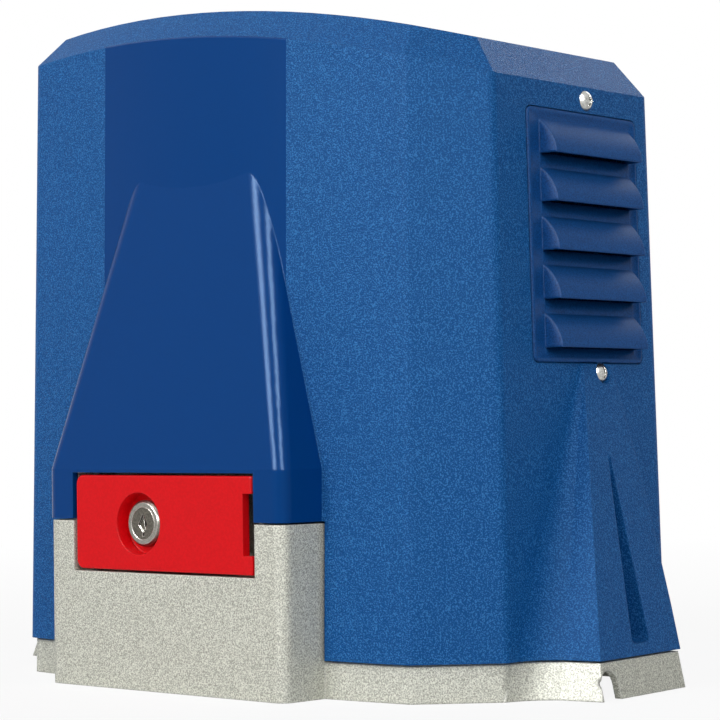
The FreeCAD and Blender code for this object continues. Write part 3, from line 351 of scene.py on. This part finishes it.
# %% Plain finishes
PLAIN = {
    # The plated steel's edges take a lighter colour: a painted highlight.
    "plated_steel": finish(
        "plated_steel", light=(0.50, 0.50, 0.48), dark=(0.38, 0.38, 0.36), rough=0.26,
        metal=1.0, fine=900, bump=0.05, painted_highlight=(0.85, 0.84, 0.80), edge=0.8, radius=0.0003),
    "steel": finish(
        "turned_steel", light=(0.60, 0.60, 0.60), dark=(0.46, 0.46, 0.47), rough=0.34,
        metal=1.0, fine=700, bump=0.10),
    "lamination_steel": finish(
        "laminations", light=(0.32, 0.33, 0.35), dark=(0.22, 0.23, 0.25), rough=0.45,
        metal=0.8, fine=600, bump=0.2),
    "gearbox_casting": finish(
        "gearbox_casting", light=(0.62, 0.62, 0.60), dark=(0.48, 0.48, 0.47), rough=0.5,
        metal=0.6, fine=700, bump=0.4),
    "copper": finish(
        "winding_enamel", light=(0.62, 0.24, 0.08), dark=(0.42, 0.14, 0.04), rough=0.32,
        metal=0.7, fine=500, bump=0.3),
    "bronze": finish(
        "gear_bronze", light=(0.72, 0.46, 0.18), dark=(0.56, 0.34, 0.12), rough=0.3,
        metal=1.0, fine=700, bump=0.1),
    "black_plastic": finish(
        "black_plastic", light=(0.035, 0.035, 0.038), dark=(0.02, 0.02, 0.022), rough=0.5,
        metal=0.0, fine=1200, bump=0.2),
    "grey_plastic": finish(
        "grey_plastic", light=(0.42, 0.43, 0.44), dark=(0.36, 0.37, 0.38), rough=0.55,
        metal=0.0, fine=1200, bump=0.2),
    "board_green": finish(
        "solder_mask", light=(0.02, 0.20, 0.07), dark=(0.012, 0.14, 0.05), rough=0.3,
        metal=0.0, fine=500, bump=0.1),
    "terminal_green": finish(
        "terminal_green", light=(0.05, 0.42, 0.16), dark=(0.04, 0.34, 0.12), rough=0.45,
        metal=0.0, fine=1200, bump=0.1),
    "rubber": finish(
        "rubber", light=(0.03, 0.03, 0.03), dark=(0.018, 0.018, 0.018), rough=0.75,
        metal=0.0, fine=900, bump=0.3),
}
print("plain finishes:", ", ".join(sorted(PLAIN)))

# %% [markdown]
# ## Blasted aluminium
# The base is cast, then blasted with beads: thousands of tiny facets that each throw the
# light another way. A fully metallic shader could do it, but under even light it only
# mirrors the pale room. So the shader is rough and hardly metallic, and the dark pits
# and bright facets are laid in its colour as well as in its bump: painted shade in the
# pits and painted glints on the facets. The edges get a lighter colour, a painted highlight.

# %% Blasted aluminium
# The grain's tones: painted shade in the pits and painted glints on the facets.
PIT_SHADE_METAL, FACET_GLINT_METAL = (0.31, 0.313, 0.268), (0.75, 0.755, 0.665)
DUST_COLOUR, DUST_SHARE = (0.52, 0.50, 0.44), 0.12
# A lighter colour on the edges, a painted highlight, and its share.
EDGE_HIGHLIGHT_METAL, EDGE_HIGHLIGHT_METAL_SHARE = (0.80, 0.80, 0.76), 0.5
# Radius of the soft edges, then the depth and strength of the blasted grain.
METAL_EDGE, BLAST_DEPTH, BLAST_STRENGTH = 0.0012, 0.0002, 0.5


def blasted_aluminium():
    """Painted pit shade to facet glint by the grain's speckle, a share of dust, then painted
    edge highlights.
    """
    material, tree, shader = new_material("blasted_aluminium")
    grain = place_group(
        tree, GRAIN, Fine_Scale=1700.0, Coarse_Scale=500.0, Coarse_Share=0.04)
    dust = place_group(tree, DUST)
    edges = place_group(tree, EDGE, Radius=METAL_EDGE)
    # Painted shade in the pits and painted glints on the facets.
    colour = mix(tree, "RGBA", grain.outputs["Speckle"], PIT_SHADE_METAL, FACET_GLINT_METAL)
    dusty = math_node(tree, "MULTIPLY", dust.outputs["Mask"], DUST_SHARE)
    colour = mix(tree, "RGBA", dusty, colour, DUST_COLOUR)
    # A painted highlight along the edges.
    painted_highlight = math_node(tree, "MULTIPLY", edges.outputs["Mask"], EDGE_HIGHLIGHT_METAL_SHARE)
    colour = mix(tree, "RGBA", painted_highlight, colour, EDGE_HIGHLIGHT_METAL)
    plug(tree, colour, shader.inputs["Base Color"])
    set_shader(shader, metal=0.1, specular=0.2, rough=0.5)
    set_bump(tree, shader, grain.outputs["Height"], BLAST_STRENGTH, BLAST_DEPTH,
             edges.outputs["Normal"])
    return material


ALUMINIUM = blasted_aluminium()
print("made", ALUMINIUM.name)

# %% [markdown]
# ## Moulded blue plastic
# One moulding, two finishes: the tool is polished over the hood and in a band up the
# middle of the front, as far as the chamfer under the top, and spark eroded everywhere
# else. The polish stops at a crisp line, so two materials could meet there, but then the
# mesh would need an edge along it. The mask is worked out from the place in the part
# instead. It needs the cover's front face as it was drawn: a line that leans back as it
# rises, bowed like a parabola across the width. The band is what lies on that face and
# between the band's two sides, and the hood is what stands in front of it.
#
# Pale surroundings would wash a dark gloss out, so its mirrored light is kept weak, with
# a low specular level and a blue tint.

# %% The polished places
# The band's middle and half of its width, along x.
BAND_MIDDLE, BAND_HALF = -0.0034, 0.0564
# The front face: its y at the floor and its lean per metre up, then how far its bow
# falls back at this distance from the middle.
FRONT_AT_FLOOR, FRONT_LEAN = -0.095, 0.0192
FRONT_BOW, BOW_HALF = 0.008, 0.115
# How far before the face a point of the band and a point of the hood at least are.
FACE_BEHIND, HOOD_BEFORE = -0.0006, 0.0003


def gloss_mask(tree):
    """
    1 on the polished band and the hood, 0 on the grained skin and the top's chamfer.
    The front face is at y = floor line + bow * (x / half)^2 + lean * z. A point is on it
    when it is at most 0.6 mm behind, and part of the hood when 0.3 mm or more before it.
    """
    x, y, z = split_place(tree, object_place(tree))
    across = math_node(tree, "POWER", math_node(tree, "DIVIDE", x, BOW_HALF), 2.0)
    bow = math_node(tree, "MULTIPLY", across, FRONT_BOW)
    lean = math_node(tree, "MULTIPLY", z, FRONT_LEAN)
    face = math_node(tree, "ADD", math_node(tree, "ADD", bow, lean), FRONT_AT_FLOOR)
    before_face = math_node(tree, "SUBTRACT", face, y)
    off_middle = math_node(
        tree, "ABSOLUTE", math_node(tree, "SUBTRACT", x, BAND_MIDDLE))
    inside_band = math_node(tree, "LESS_THAN", off_middle, BAND_HALF)
    on_face = math_node(tree, "GREATER_THAN", before_face, FACE_BEHIND)
    band = math_node(tree, "MULTIPLY", inside_band, on_face)
    hood = math_node(tree, "GREATER_THAN", before_face, HOOD_BEFORE)
    return math_node(tree, "MAXIMUM", band, hood)


print("polished band:", round(2000 * BAND_HALF, 1), "mm wide")

# %% Blue plastic
# The skin's blue, and the lighter specks on it that paint the glints of its grain.
DEEP_BLUE, GLINT_SPECK_BLUE = (0.0, 0.068, 0.252), (0.028, 0.175, 0.480)
GLOSS_BLUE = (0.0, 0.047, 0.216)
# A lighter colour on the edges, a painted highlight, and its share.
EDGE_HIGHLIGHT_BLUE, EDGE_HIGHLIGHT_BLUE_SHARE = (0.03, 0.16, 0.42), 0.3
# The painted glints begin at this much speckle and are at their brightest at that much.
SPECK_START, SPECK_END = 0.5, 1.0
GRAINED_ROUGH, GLOSS_ROUGH = 0.5, 0.24
PLASTIC_SPECULAR, BLUE_TINT = 0.12, (0.45, 0.7, 1.0, 1.0)
# Radius of the soft edges, then the depth and strength of the eroded grain.
PLASTIC_EDGE, SPARK_DEPTH, SPARK_STRENGTH = 0.0008, 0.0004, 1.0


def blue_plastic():
    """Painted glint specks on the grain's brighter half, gloss by the mask, then painted edge
    highlights.
    """
    material, tree, shader = new_material("moulded_blue")
    grain = place_group(
        tree, GRAIN, Fine_Scale=1600.0, Coarse_Scale=500.0, Coarse_Share=0.05)
    edges = place_group(tree, EDGE, Radius=PLASTIC_EDGE)
    gloss = gloss_mask(tree)
    glint_specks = ramp(tree, grain.outputs["Speckle"], SPECK_START, SPECK_END)
    colour = mix(tree, "RGBA", glint_specks, DEEP_BLUE, GLINT_SPECK_BLUE)
    colour = mix(tree, "RGBA", gloss, colour, GLOSS_BLUE)
    # A painted highlight along the edges.
    painted_highlight = math_node(tree, "MULTIPLY", edges.outputs["Mask"], EDGE_HIGHLIGHT_BLUE_SHARE)
    colour = mix(tree, "RGBA", painted_highlight, colour, EDGE_HIGHLIGHT_BLUE)
    plug(tree, colour, shader.inputs["Base Color"])
    rough = mix(tree, "FLOAT", gloss, GRAINED_ROUGH, GLOSS_ROUGH)
    plug(tree, rough, shader.inputs["Roughness"])
    set_shader(shader, specular=PLASTIC_SPECULAR, tint=BLUE_TINT)
    grained = math_node(tree, "SUBTRACT", 1.0, gloss)
    height = math_node(tree, "MULTIPLY", grain.outputs["Height"], grained)
    set_bump(tree, shader, height, SPARK_STRENGTH, SPARK_DEPTH, edges.outputs["Normal"])
    return material


BLUE = blue_plastic()
print("made", BLUE.name)

# %% [markdown]
# ## Vent, door and lock
# The vent is moulded in its own tool, in a slightly duller blue. The release door is
# satin red. The lock is nickel: its face is darker than its rim, and its edges, like the
# vent's and the door's, take a lighter colour, a painted highlight. The hinge pin's steel
# is painted dark as shade, because its ends show in the door's shaded gap, where bright
# steel would draw the eye. Each could have its own tree, but all five are plain finishes,
# so the maker above serves them too.

# %% Vent, door and lock finishes
# The vent and the door take a lighter colour on their edges: a painted highlight.
VENT_BLUE = finish(
    "vent_blue", light=(0.006, 0.085, 0.300), dark=(0.0, 0.045, 0.185), rough=0.5,
    metal=0.0, fine=1700, bump=0.3, specular=PLASTIC_SPECULAR,
    painted_highlight=(0.05, 0.16, 0.42), edge=0.5, radius=0.0008)
RED = finish(
    "door_red", light=(0.80, 0.002, 0.007), dark=(0.74, 0.001, 0.005), rough=0.35,
    metal=0.0, fine=900, bump=0.05, specular=PLASTIC_SPECULAR,
    painted_highlight=(0.90, 0.03, 0.03), edge=0.4, radius=0.0006)
# The lock's face is darker than its rim; both take a painted highlight on their edges.
LOCK_FACE = finish(
    "lock_face_nickel", light=(0.13, 0.12, 0.10), dark=(0.07, 0.065, 0.055), rough=0.34,
    metal=1.0, fine=1500, bump=0.2, painted_highlight=(0.75, 0.73, 0.68), edge=1.0, radius=0.0003)
LOCK_RIM = finish(
    "lock_rim_nickel", light=(0.30, 0.29, 0.26), dark=(0.20, 0.19, 0.17), rough=0.28,
    metal=1.0, fine=1500, bump=0.1, painted_highlight=(0.85, 0.84, 0.80), edge=1.0, radius=0.0004)
# The hinge pin's steel is painted dark as shade, for the shaded gap its ends show in.
PIN_SHADE_STEEL = finish(
    "pin_steel_painted_dark", light=(0.05, 0.05, 0.05), dark=(0.03, 0.03, 0.03), rough=0.5,
    metal=0.6, fine=900, bump=0.1)
OWN_FINISH = {"lock_plug": LOCK_FACE, "lock_barrel": LOCK_RIM, "door_hinge_pin": PIN_SHADE_STEEL}
print("made", ", ".join(m.name for m in (VENT_BLUE, RED, LOCK_FACE, LOCK_RIM, PIN_SHADE_STEEL)))

# %% [markdown]
# ## Giving each node its finish
# Each piece could be named here with its stuff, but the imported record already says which
# stuff each is made of. So the finishes are handed out by that table, and only the
# lock and the hinge pin, which look unlike the rest of their stuff, are named.

# %% Hand out the finishes
FINISH = dict(
    PLAIN, cast_aluminium=ALUMINIUM, blue_plastic=BLUE, vent_plastic=VENT_BLUE,
    red_plastic=RED)
for part in frame["record"]["subparts"]:
    piece = nodes[part["node"]]
    piece.data.materials.clear()
    piece.data.materials.append(FINISH[part["material_slot"]])
for name, own_finish in OWN_FINISH.items():
    nodes[name].data.materials[0] = own_finish

# %% [markdown]
# ## The vent grille
# The grille is one thin moulding: a plate with a rounded rim, and five hoods pushed out
# of it, each open below so that air gets in and rain doesn't. It could be cut from
# solids, but the soft run from plate to hood is what the eye sees, so it is made as one
# sheet: the height off the plate is a function of the place on it. At each lip the
# sheet is torn: two rows of points share one line, the upper stands off and the lower
# stays on the plate, with no face between, and that is the open slot. Solidify then
# gives the sheet its wall.

# %% The grille's height over its plate
# The cover's side wall behind the plate: its x at the floor, and its lean per metre up.
SIDE_AT_FLOOR, SIDE_LEAN = 0.144, 0.0192
# The plate's lower and upper edge, measured up that wall.
PLATE_FOOT, PLATE_HEAD = 0.1395, 0.2472
# The hoods: how many, the distance between them, and the height of the lowest lip.
HOODS, HOOD_PITCH, FIRST_LIP = 5, 0.02055, 0.1455
# One hood: its height, how far its lip stands off, and how full it bulges (below 1).
HOOD_RISE, HOOD_REACH, HOOD_BULGE = 0.0145, 0.0082, 0.8
# Along y: half of the straight lip, the run of each closed end, and the hoods' shift
# from the plate's middle.
LIP_HALF, END_RUN, HOOD_SHIFT = 0.0316, 0.0014, 0.0016
# The rounded rim, the sheet's wall and the radius of the plate's corners.
RIM_WIDTH, RIM_PROUD = 0.0028, 0.0006
GRILLE_WALL, CORNER = 0.0016, 0.003

grille_low, grille_high = (np.array(corner, dtype=float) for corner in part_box("vent_grille"))
plate_y = (grille_low[1], grille_high[1])
plate_z = (PLATE_FOOT, PLATE_HEAD)
plate_middle = (plate_y[0] + plate_y[1]) / 2
print("grille plate:", [round(1000 * (b - a), 1) for a, b in (plate_y, plate_z)], "mm")


def hood_height(y, z, lip):
    """
    reach * sin(quarter turn from top to lip)^bulge * sqrt(1 - e^2), where e runs from 0
    to 1 over the closed end.
    """
    down = np.clip((lip + HOOD_RISE - z) / HOOD_RISE, 0, 1)
    past = np.abs(y - plate_middle - HOOD_SHIFT) - LIP_HALF
    end = np.sqrt(1 - np.clip(past / END_RUN, 0, 1) ** 2)
    return HOOD_REACH * np.sin(down * math.pi / 2) ** HOOD_BULGE * end


def rim_height(y, z):
    """Half a sine wave across the rim, from the plate's edge inward."""
    to_side = np.minimum(y - plate_y[0], plate_y[1] - y)
    to_end = np.minimum(z - plate_z[0], plate_z[1] - z)
    to_edge = np.minimum(to_side, to_end)
    return RIM_PROUD * np.sin(math.pi * np.clip(to_edge / RIM_WIDTH, 0, 1))


# %% [markdown]
# ### Rows and columns
# An even grid would need very many faces before its bends looked smooth. So the rows and
# columns crowd where the sheet bends: over the rim, and over each hood's two ends. Rows
# are listed as heights with the lip they belong to, so a torn row is simply two entries
# with the same height.

# %% The grille's rows and columns
# Points over the rim, a hood's closed end, its height and the straight between its ends.
RIM_STEPS, END_STEPS, HOOD_STEPS, MIDDLE_STEPS = 6, 12, 20, 26
# How far the crowded columns reach past a hood's closed end, on both sides.
END_MARGIN = 0.0004


def grille_rows():
    """Rows from the top down as (z, lip of the hood or 0), a torn pair at each lip."""
    rim = np.linspace(0, RIM_WIDTH, RIM_STEPS)
    rows = [(plate_z[1] - t, 0.0) for t in rim]
    for hood in reversed(range(HOODS)):
        lip = FIRST_LIP + hood * HOOD_PITCH
        rows += [(z, lip) for z in np.linspace(lip + HOOD_RISE, lip, HOOD_STEPS)]
        rows.append((lip, 0.0))
    rows += [(plate_z[0] + t, 0.0) for t in rim[::-1]]
    return np.array(rows)


def grille_columns():
    """Columns along y: rim, a hood's end, the straight between, the other end, rim."""
    rim = np.linspace(0, RIM_WIDTH, RIM_STEPS)
    hood_edge = np.linspace(-END_MARGIN, END_RUN + END_MARGIN, END_STEPS)
    left_end = plate_middle + HOOD_SHIFT - LIP_HALF - hood_edge[::-1]
    right_end = plate_middle + HOOD_SHIFT + LIP_HALF + hood_edge
    between = np.linspace(left_end[-1], right_end[0], MIDDLE_STEPS)[1:-1]
    return np.concatenate(
        [plate_y[0] + rim, left_end, between, right_end, plate_y[1] - rim[::-1]])


sheet_rows, sheet_columns = grille_rows(), grille_columns()
print("grille grid:", len(sheet_rows), "rows by", len(sheet_columns), "columns")

# %% [markdown]
# ### From the flat grid to the sheet
# The plate has rounded corners, and the grid's are square. Cutting them would leave a
# ragged edge, so each square corner is pressed onto its quarter circle. Then the sheet is
# stood off by its height and leaned against the cover's side wall.

# %% The grille's sheet
# Keeps the division in the corners away from zero.
NEVER_ZERO = 1e-9


def round_corners(y, z):
    """
    Within a corner's square, the distance from its centre becomes the greater of the
    offsets along y and z, with the direction kept, so the square's edge becomes an arc.
    """
    middle_z = (plate_z[0] + plate_z[1]) / 2
    half_y = (plate_y[1] - plate_y[0]) / 2 - CORNER
    half_z = (plate_z[1] - plate_z[0]) / 2 - CORNER
    off_y, off_z = y - plate_middle, z - middle_z
    over_y, over_z = np.abs(off_y) - half_y, np.abs(off_z) - half_z
    corner = (over_y > 0) & (over_z > 0)
    shrink = np.maximum(over_y, over_z) / np.maximum(np.hypot(over_y, over_z), NEVER_ZERO)
    new_y = plate_middle + np.sign(off_y) * (half_y + over_y * shrink)
    new_z = middle_z + np.sign(off_z) * (half_z + over_z * shrink)
    return np.where(corner, new_y, y), np.where(corner, new_z, z)


def grille_sheet(rows, columns):
    """
    A point for each row and column: its stand is hood height + rim height, and the pair
    (stand, z) is turned by the wall's lean to give x and the height over the floor.
    """
    y, z = np.broadcast_arrays(columns[None, :], rows[:, :1])
    lip = rows[:, 1:]
    hood = np.where(lip > 0, hood_height(y, z, lip), 0.0)
    stand = hood + rim_height(y, z)
    y, z = round_corners(y, z)
    lean = math.atan(SIDE_LEAN)
    x = SIDE_AT_FLOOR + stand * math.cos(lean) - z * math.sin(lean)
    up = stand * math.sin(lean) + z * math.cos(lean)
    return np.stack([x, y, up], axis=-1)


def torn_rows(rows):
    """True for each row that ends a hood: the next has the same height but no lip."""
    return (np.diff(rows[:, 0]) == 0) & (rows[:-1, 1] > 0)


sheet = grille_sheet(sheet_rows, sheet_columns)
open_lips = torn_rows(sheet_rows)
print("sheet points:", sheet.shape[0] * sheet.shape[1], "open lips:", int(open_lips.sum()))

# %% [markdown]
# ### The sheet becomes a piece
# Quads join the points, except below a torn row. Beside a hood the two rows of a tear lie
# on the plate in the same places, so those points are merged and the plate stays whole.
# The piece rides on the frame and stands for the CAD's own grille.

# %% The grille's mesh
MERGE_DISTANCE = 1e-6
SHARP_ANGLE = math.radians(50)


def grid_mesh(name, points, torn):
    """Quads between neighbouring rows and columns, except below a torn row."""
    count_rows, count_columns = points.shape[:2]
    index = np.arange(count_rows * count_columns).reshape(count_rows, count_columns)
    kept = np.flatnonzero(~torn)
    above, below = index[kept], index[kept + 1]
    quads = np.stack([above[:, :-1], below[:, :-1], below[:, 1:], above[:, 1:]], axis=-1)
    mesh = bpy.data.meshes.new(name)
    mesh.from_pydata(points.reshape(-1, 3).tolist(), [], quads.reshape(-1, 4).tolist())
    work = bmesh.new()
    work.from_mesh(mesh)
    bmesh.ops.remove_doubles(work, verts=work.verts, dist=MERGE_DISTANCE)
    work.to_mesh(mesh)
    work.free()
    mesh.shade_smooth()
    mesh.set_sharp_from_angle(angle=SHARP_ANGLE)
    return mesh


grille_mesh = grid_mesh("louvred_grille", sheet, open_lips)
grille_mesh.materials.append(VENT_BLUE)
grille = bpy.data.objects.new("louvred_grille", grille_mesh)
bpy.context.scene.collection.objects.link(grille)
wall = grille.modifiers.new("wall", "SOLIDIFY")
wall.thickness = GRILLE_WALL
# The sheet is the outer face, and the whole wall lies behind it.
wall.offset = -1.0
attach(grille, "frame")
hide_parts("vent_grille")
print("grille:", len(grille_mesh.polygons), "faces, first normal",
      [round(v, 2) for v in grille_mesh.polygons[0].normal])

# %% [markdown]
# ## Floor and surroundings
# A pale floor and an even world give the plain studio look. More light would make them
# white, but would burn out the part as well. So they are only brought up to white for
# the rays that show a background: the camera's own, and mirrored and refracted ones. The
# rays that light the part find a weaker world, and near the part the floor keeps a share
# of its own shading, so that the part's shadow stays on it.

# %% Floor
FLOOR_REACH, FLOOR_BELOW = 30.0, 0.0002
FLOOR_GREY = (0.80, 0.80, 0.80, 1.0)
# The floor's share of pure white, up to NEAR from the middle; it is all white from FAR.
WHITE_SHARE, NEAR, FAR = 0.9, 0.25, 1.2


def background_rays(tree):
    """1 for rays that show a background: the camera's own, mirrored and refracted ones."""
    path = add(tree, "LightPath")
    seen = math_node(
        tree, "MAXIMUM", path.outputs["Is Camera Ray"], path.outputs["Is Glossy Ray"])
    return math_node(tree, "MAXIMUM", seen, path.outputs["Is Transmission Ray"])


def pale_floor():
    """Matt floor, mixed with white by white share + (1 - white share) * way to far."""
    material, tree, shader = new_material("pale_floor")
    set_shader(shader, colour=FLOOR_GREY, rough=0.9, specular=0.0)
    distance = add(tree, "VectorMath", operation="LENGTH")
    plug(tree, object_place(tree), distance.inputs[0])
    away = ramp(tree, distance.outputs["Value"], NEAR, FAR)
    share = math_node(tree, "MULTIPLY_ADD", away, 1.0 - WHITE_SHARE, WHITE_SHARE)
    glow = add(tree, "Emission")
    plug(tree, 1.0, glow.inputs["Strength"])
    both = add(tree, "MixShader")
    plug(tree, math_node(tree, "MULTIPLY", share, background_rays(tree)), both.inputs[0])
    plug(tree, shader.outputs[0], both.inputs[1])
    plug(tree, glow.outputs[0], both.inputs[2])
    plug(tree, both.outputs[0], tree.nodes["Material Output"].inputs["Surface"])
    return material


corners = np.array([[-1, -1, 0], [1, -1, 0], [1, 1, 0], [-1, 1, 0]], dtype=float)
corners *= FLOOR_REACH
corners[:, 2] = cad_box[0][2] - FLOOR_BELOW
floor_mesh = bpy.data.meshes.new("floor")
floor_mesh.from_pydata([tuple(v) for v in corners], [], [(0, 1, 2, 3)])
floor_mesh.materials.append(pale_floor())
floor = bpy.data.objects.new("floor", floor_mesh)
bpy.context.scene.collection.objects.link(floor)
print("floor at", round(float(corners[0, 2]), 4), "m")

# %% World
# The world's strength for the rays that light the part, and for those that show it.
LIGHT_LEVEL, SEEN_LEVEL = 0.22, 1.0

world = bpy.data.worlds.new("studio")
bpy.context.scene.world = world
world.use_nodes = True
sky = world.node_tree
background = sky.nodes["Background"]
plug(sky, (1.0, 1.0, 1.0), background.inputs["Color"])
level = mix(sky, "FLOAT", background_rays(sky), LIGHT_LEVEL, SEEN_LEVEL)
plug(sky, level, background.inputs["Strength"])
print("world level:", LIGHT_LEVEL, "for light,", SEEN_LEVEL, "where it is seen")

# %% [markdown]
# ## Lamps
# Two soft boxes light the front and the vent side, and a weak one fills the back. Bright
# lines run down the hood's rounded edges, and boxes strong enough to draw them would
# burn out the rest. So each box has a lamp beside it that only reflections see: it draws
# the line and adds no light to a matt surface. A lamp's strength is set for its own
# distance, so that a colour comes out about as it is written.

# %% Lamps
# All lamps point near the middle of the part's height.
LAMP_TARGET = Vector((0, 0, 0.14))
# Azimuth and elevation in degrees, distance, width and height in metres, strength, and
# whether only reflections see it.
LAMPS = {
    "left_box": (-11, 30, 2.4, 1.0, 1.4, 3.8, False),
    "right_box": (49, 30, 2.4, 0.8, 1.4, 3.2, False),
    "left_shine": (-11, 32, 2.3, 0.80, 1.6, 26.0, True),
    "right_shine": (49, 32, 2.3, 0.62, 1.6, 21.0, True),
    "rear_fill": (195, 35, 2.6, 1.4, 1.0, 2.2, False),
}


def area_lamp(name, azimuth, elevation, distance, width, height, strength, only_shine):
    """
    A rectangular lamp on a sphere round the part; azimuth 0 is in front, 90 on +X. Its
    power is its strength times its distance squared.
    """
    data = bpy.data.lights.new(name, "AREA")
    data.shape = "RECTANGLE"
    data.size, data.size_y = width, height
    data.energy = strength * distance ** 2
    turn, lift = math.radians(azimuth), math.radians(elevation)
    outward = Vector((math.sin(turn) * math.cos(lift), -math.cos(turn) * math.cos(lift),
                      math.sin(lift)))
    lamp = bpy.data.objects.new(name, data)
    lamp.location = LAMP_TARGET + outward * distance
    lamp.rotation_euler = (-outward).to_track_quat("-Z", "Y").to_euler()
    lamp.visible_diffuse = not only_shine
    bpy.context.scene.collection.objects.link(lamp)


for name, values in LAMPS.items():
    area_lamp(name, *values)
print("lamps:", ", ".join(LAMPS))

# %% [markdown]
# ## Camera
# The camera stands low and far off, on the corner between the front and the vent side.
# It looks up by a degree and a half and is rolled by less than one, which no aim at a
# target point would give, so its three axes are worked out from those angles. The view
# transform is Standard, which shows colours as they are written.

# %% Camera
VIEW_AZIMUTH = math.radians(40.80)
VIEW_PITCH = math.radians(1.506)
VIEW_ROLL = math.radians(-0.775)
STAND = Vector((0.7237, -0.8195, 0.1155))
LENS_MM, SENSOR_MM = 116.9, 36.0


def camera_turn():
    """Columns right, up and back, from azimuth, pitch and roll in that order."""
    forward = Vector((-math.sin(VIEW_AZIMUTH), math.cos(VIEW_AZIMUTH), 0))
    right = Vector((math.cos(VIEW_AZIMUTH), math.sin(VIEW_AZIMUTH), 0))
    up = Vector((0, 0, 1))
    ahead = forward * math.cos(VIEW_PITCH) + up * math.sin(VIEW_PITCH)
    above = up * math.cos(VIEW_PITCH) - forward * math.sin(VIEW_PITCH)
    side = right * math.cos(VIEW_ROLL) + above * math.sin(VIEW_ROLL)
    top = above * math.cos(VIEW_ROLL) - right * math.sin(VIEW_ROLL)
    return Matrix((side, top, -ahead)).transposed()


lens = bpy.data.cameras.new("camera")
lens.sensor_width = SENSOR_MM
lens.lens = LENS_MM
camera = bpy.data.objects.new("camera", lens)
camera.location = STAND
camera.rotation_euler = camera_turn().to_euler()
bpy.context.scene.collection.objects.link(camera)
bpy.context.scene.camera = camera
bpy.context.scene.view_settings.view_transform = "Standard"
print("camera at", tuple(round(v, 3) for v in camera.location))
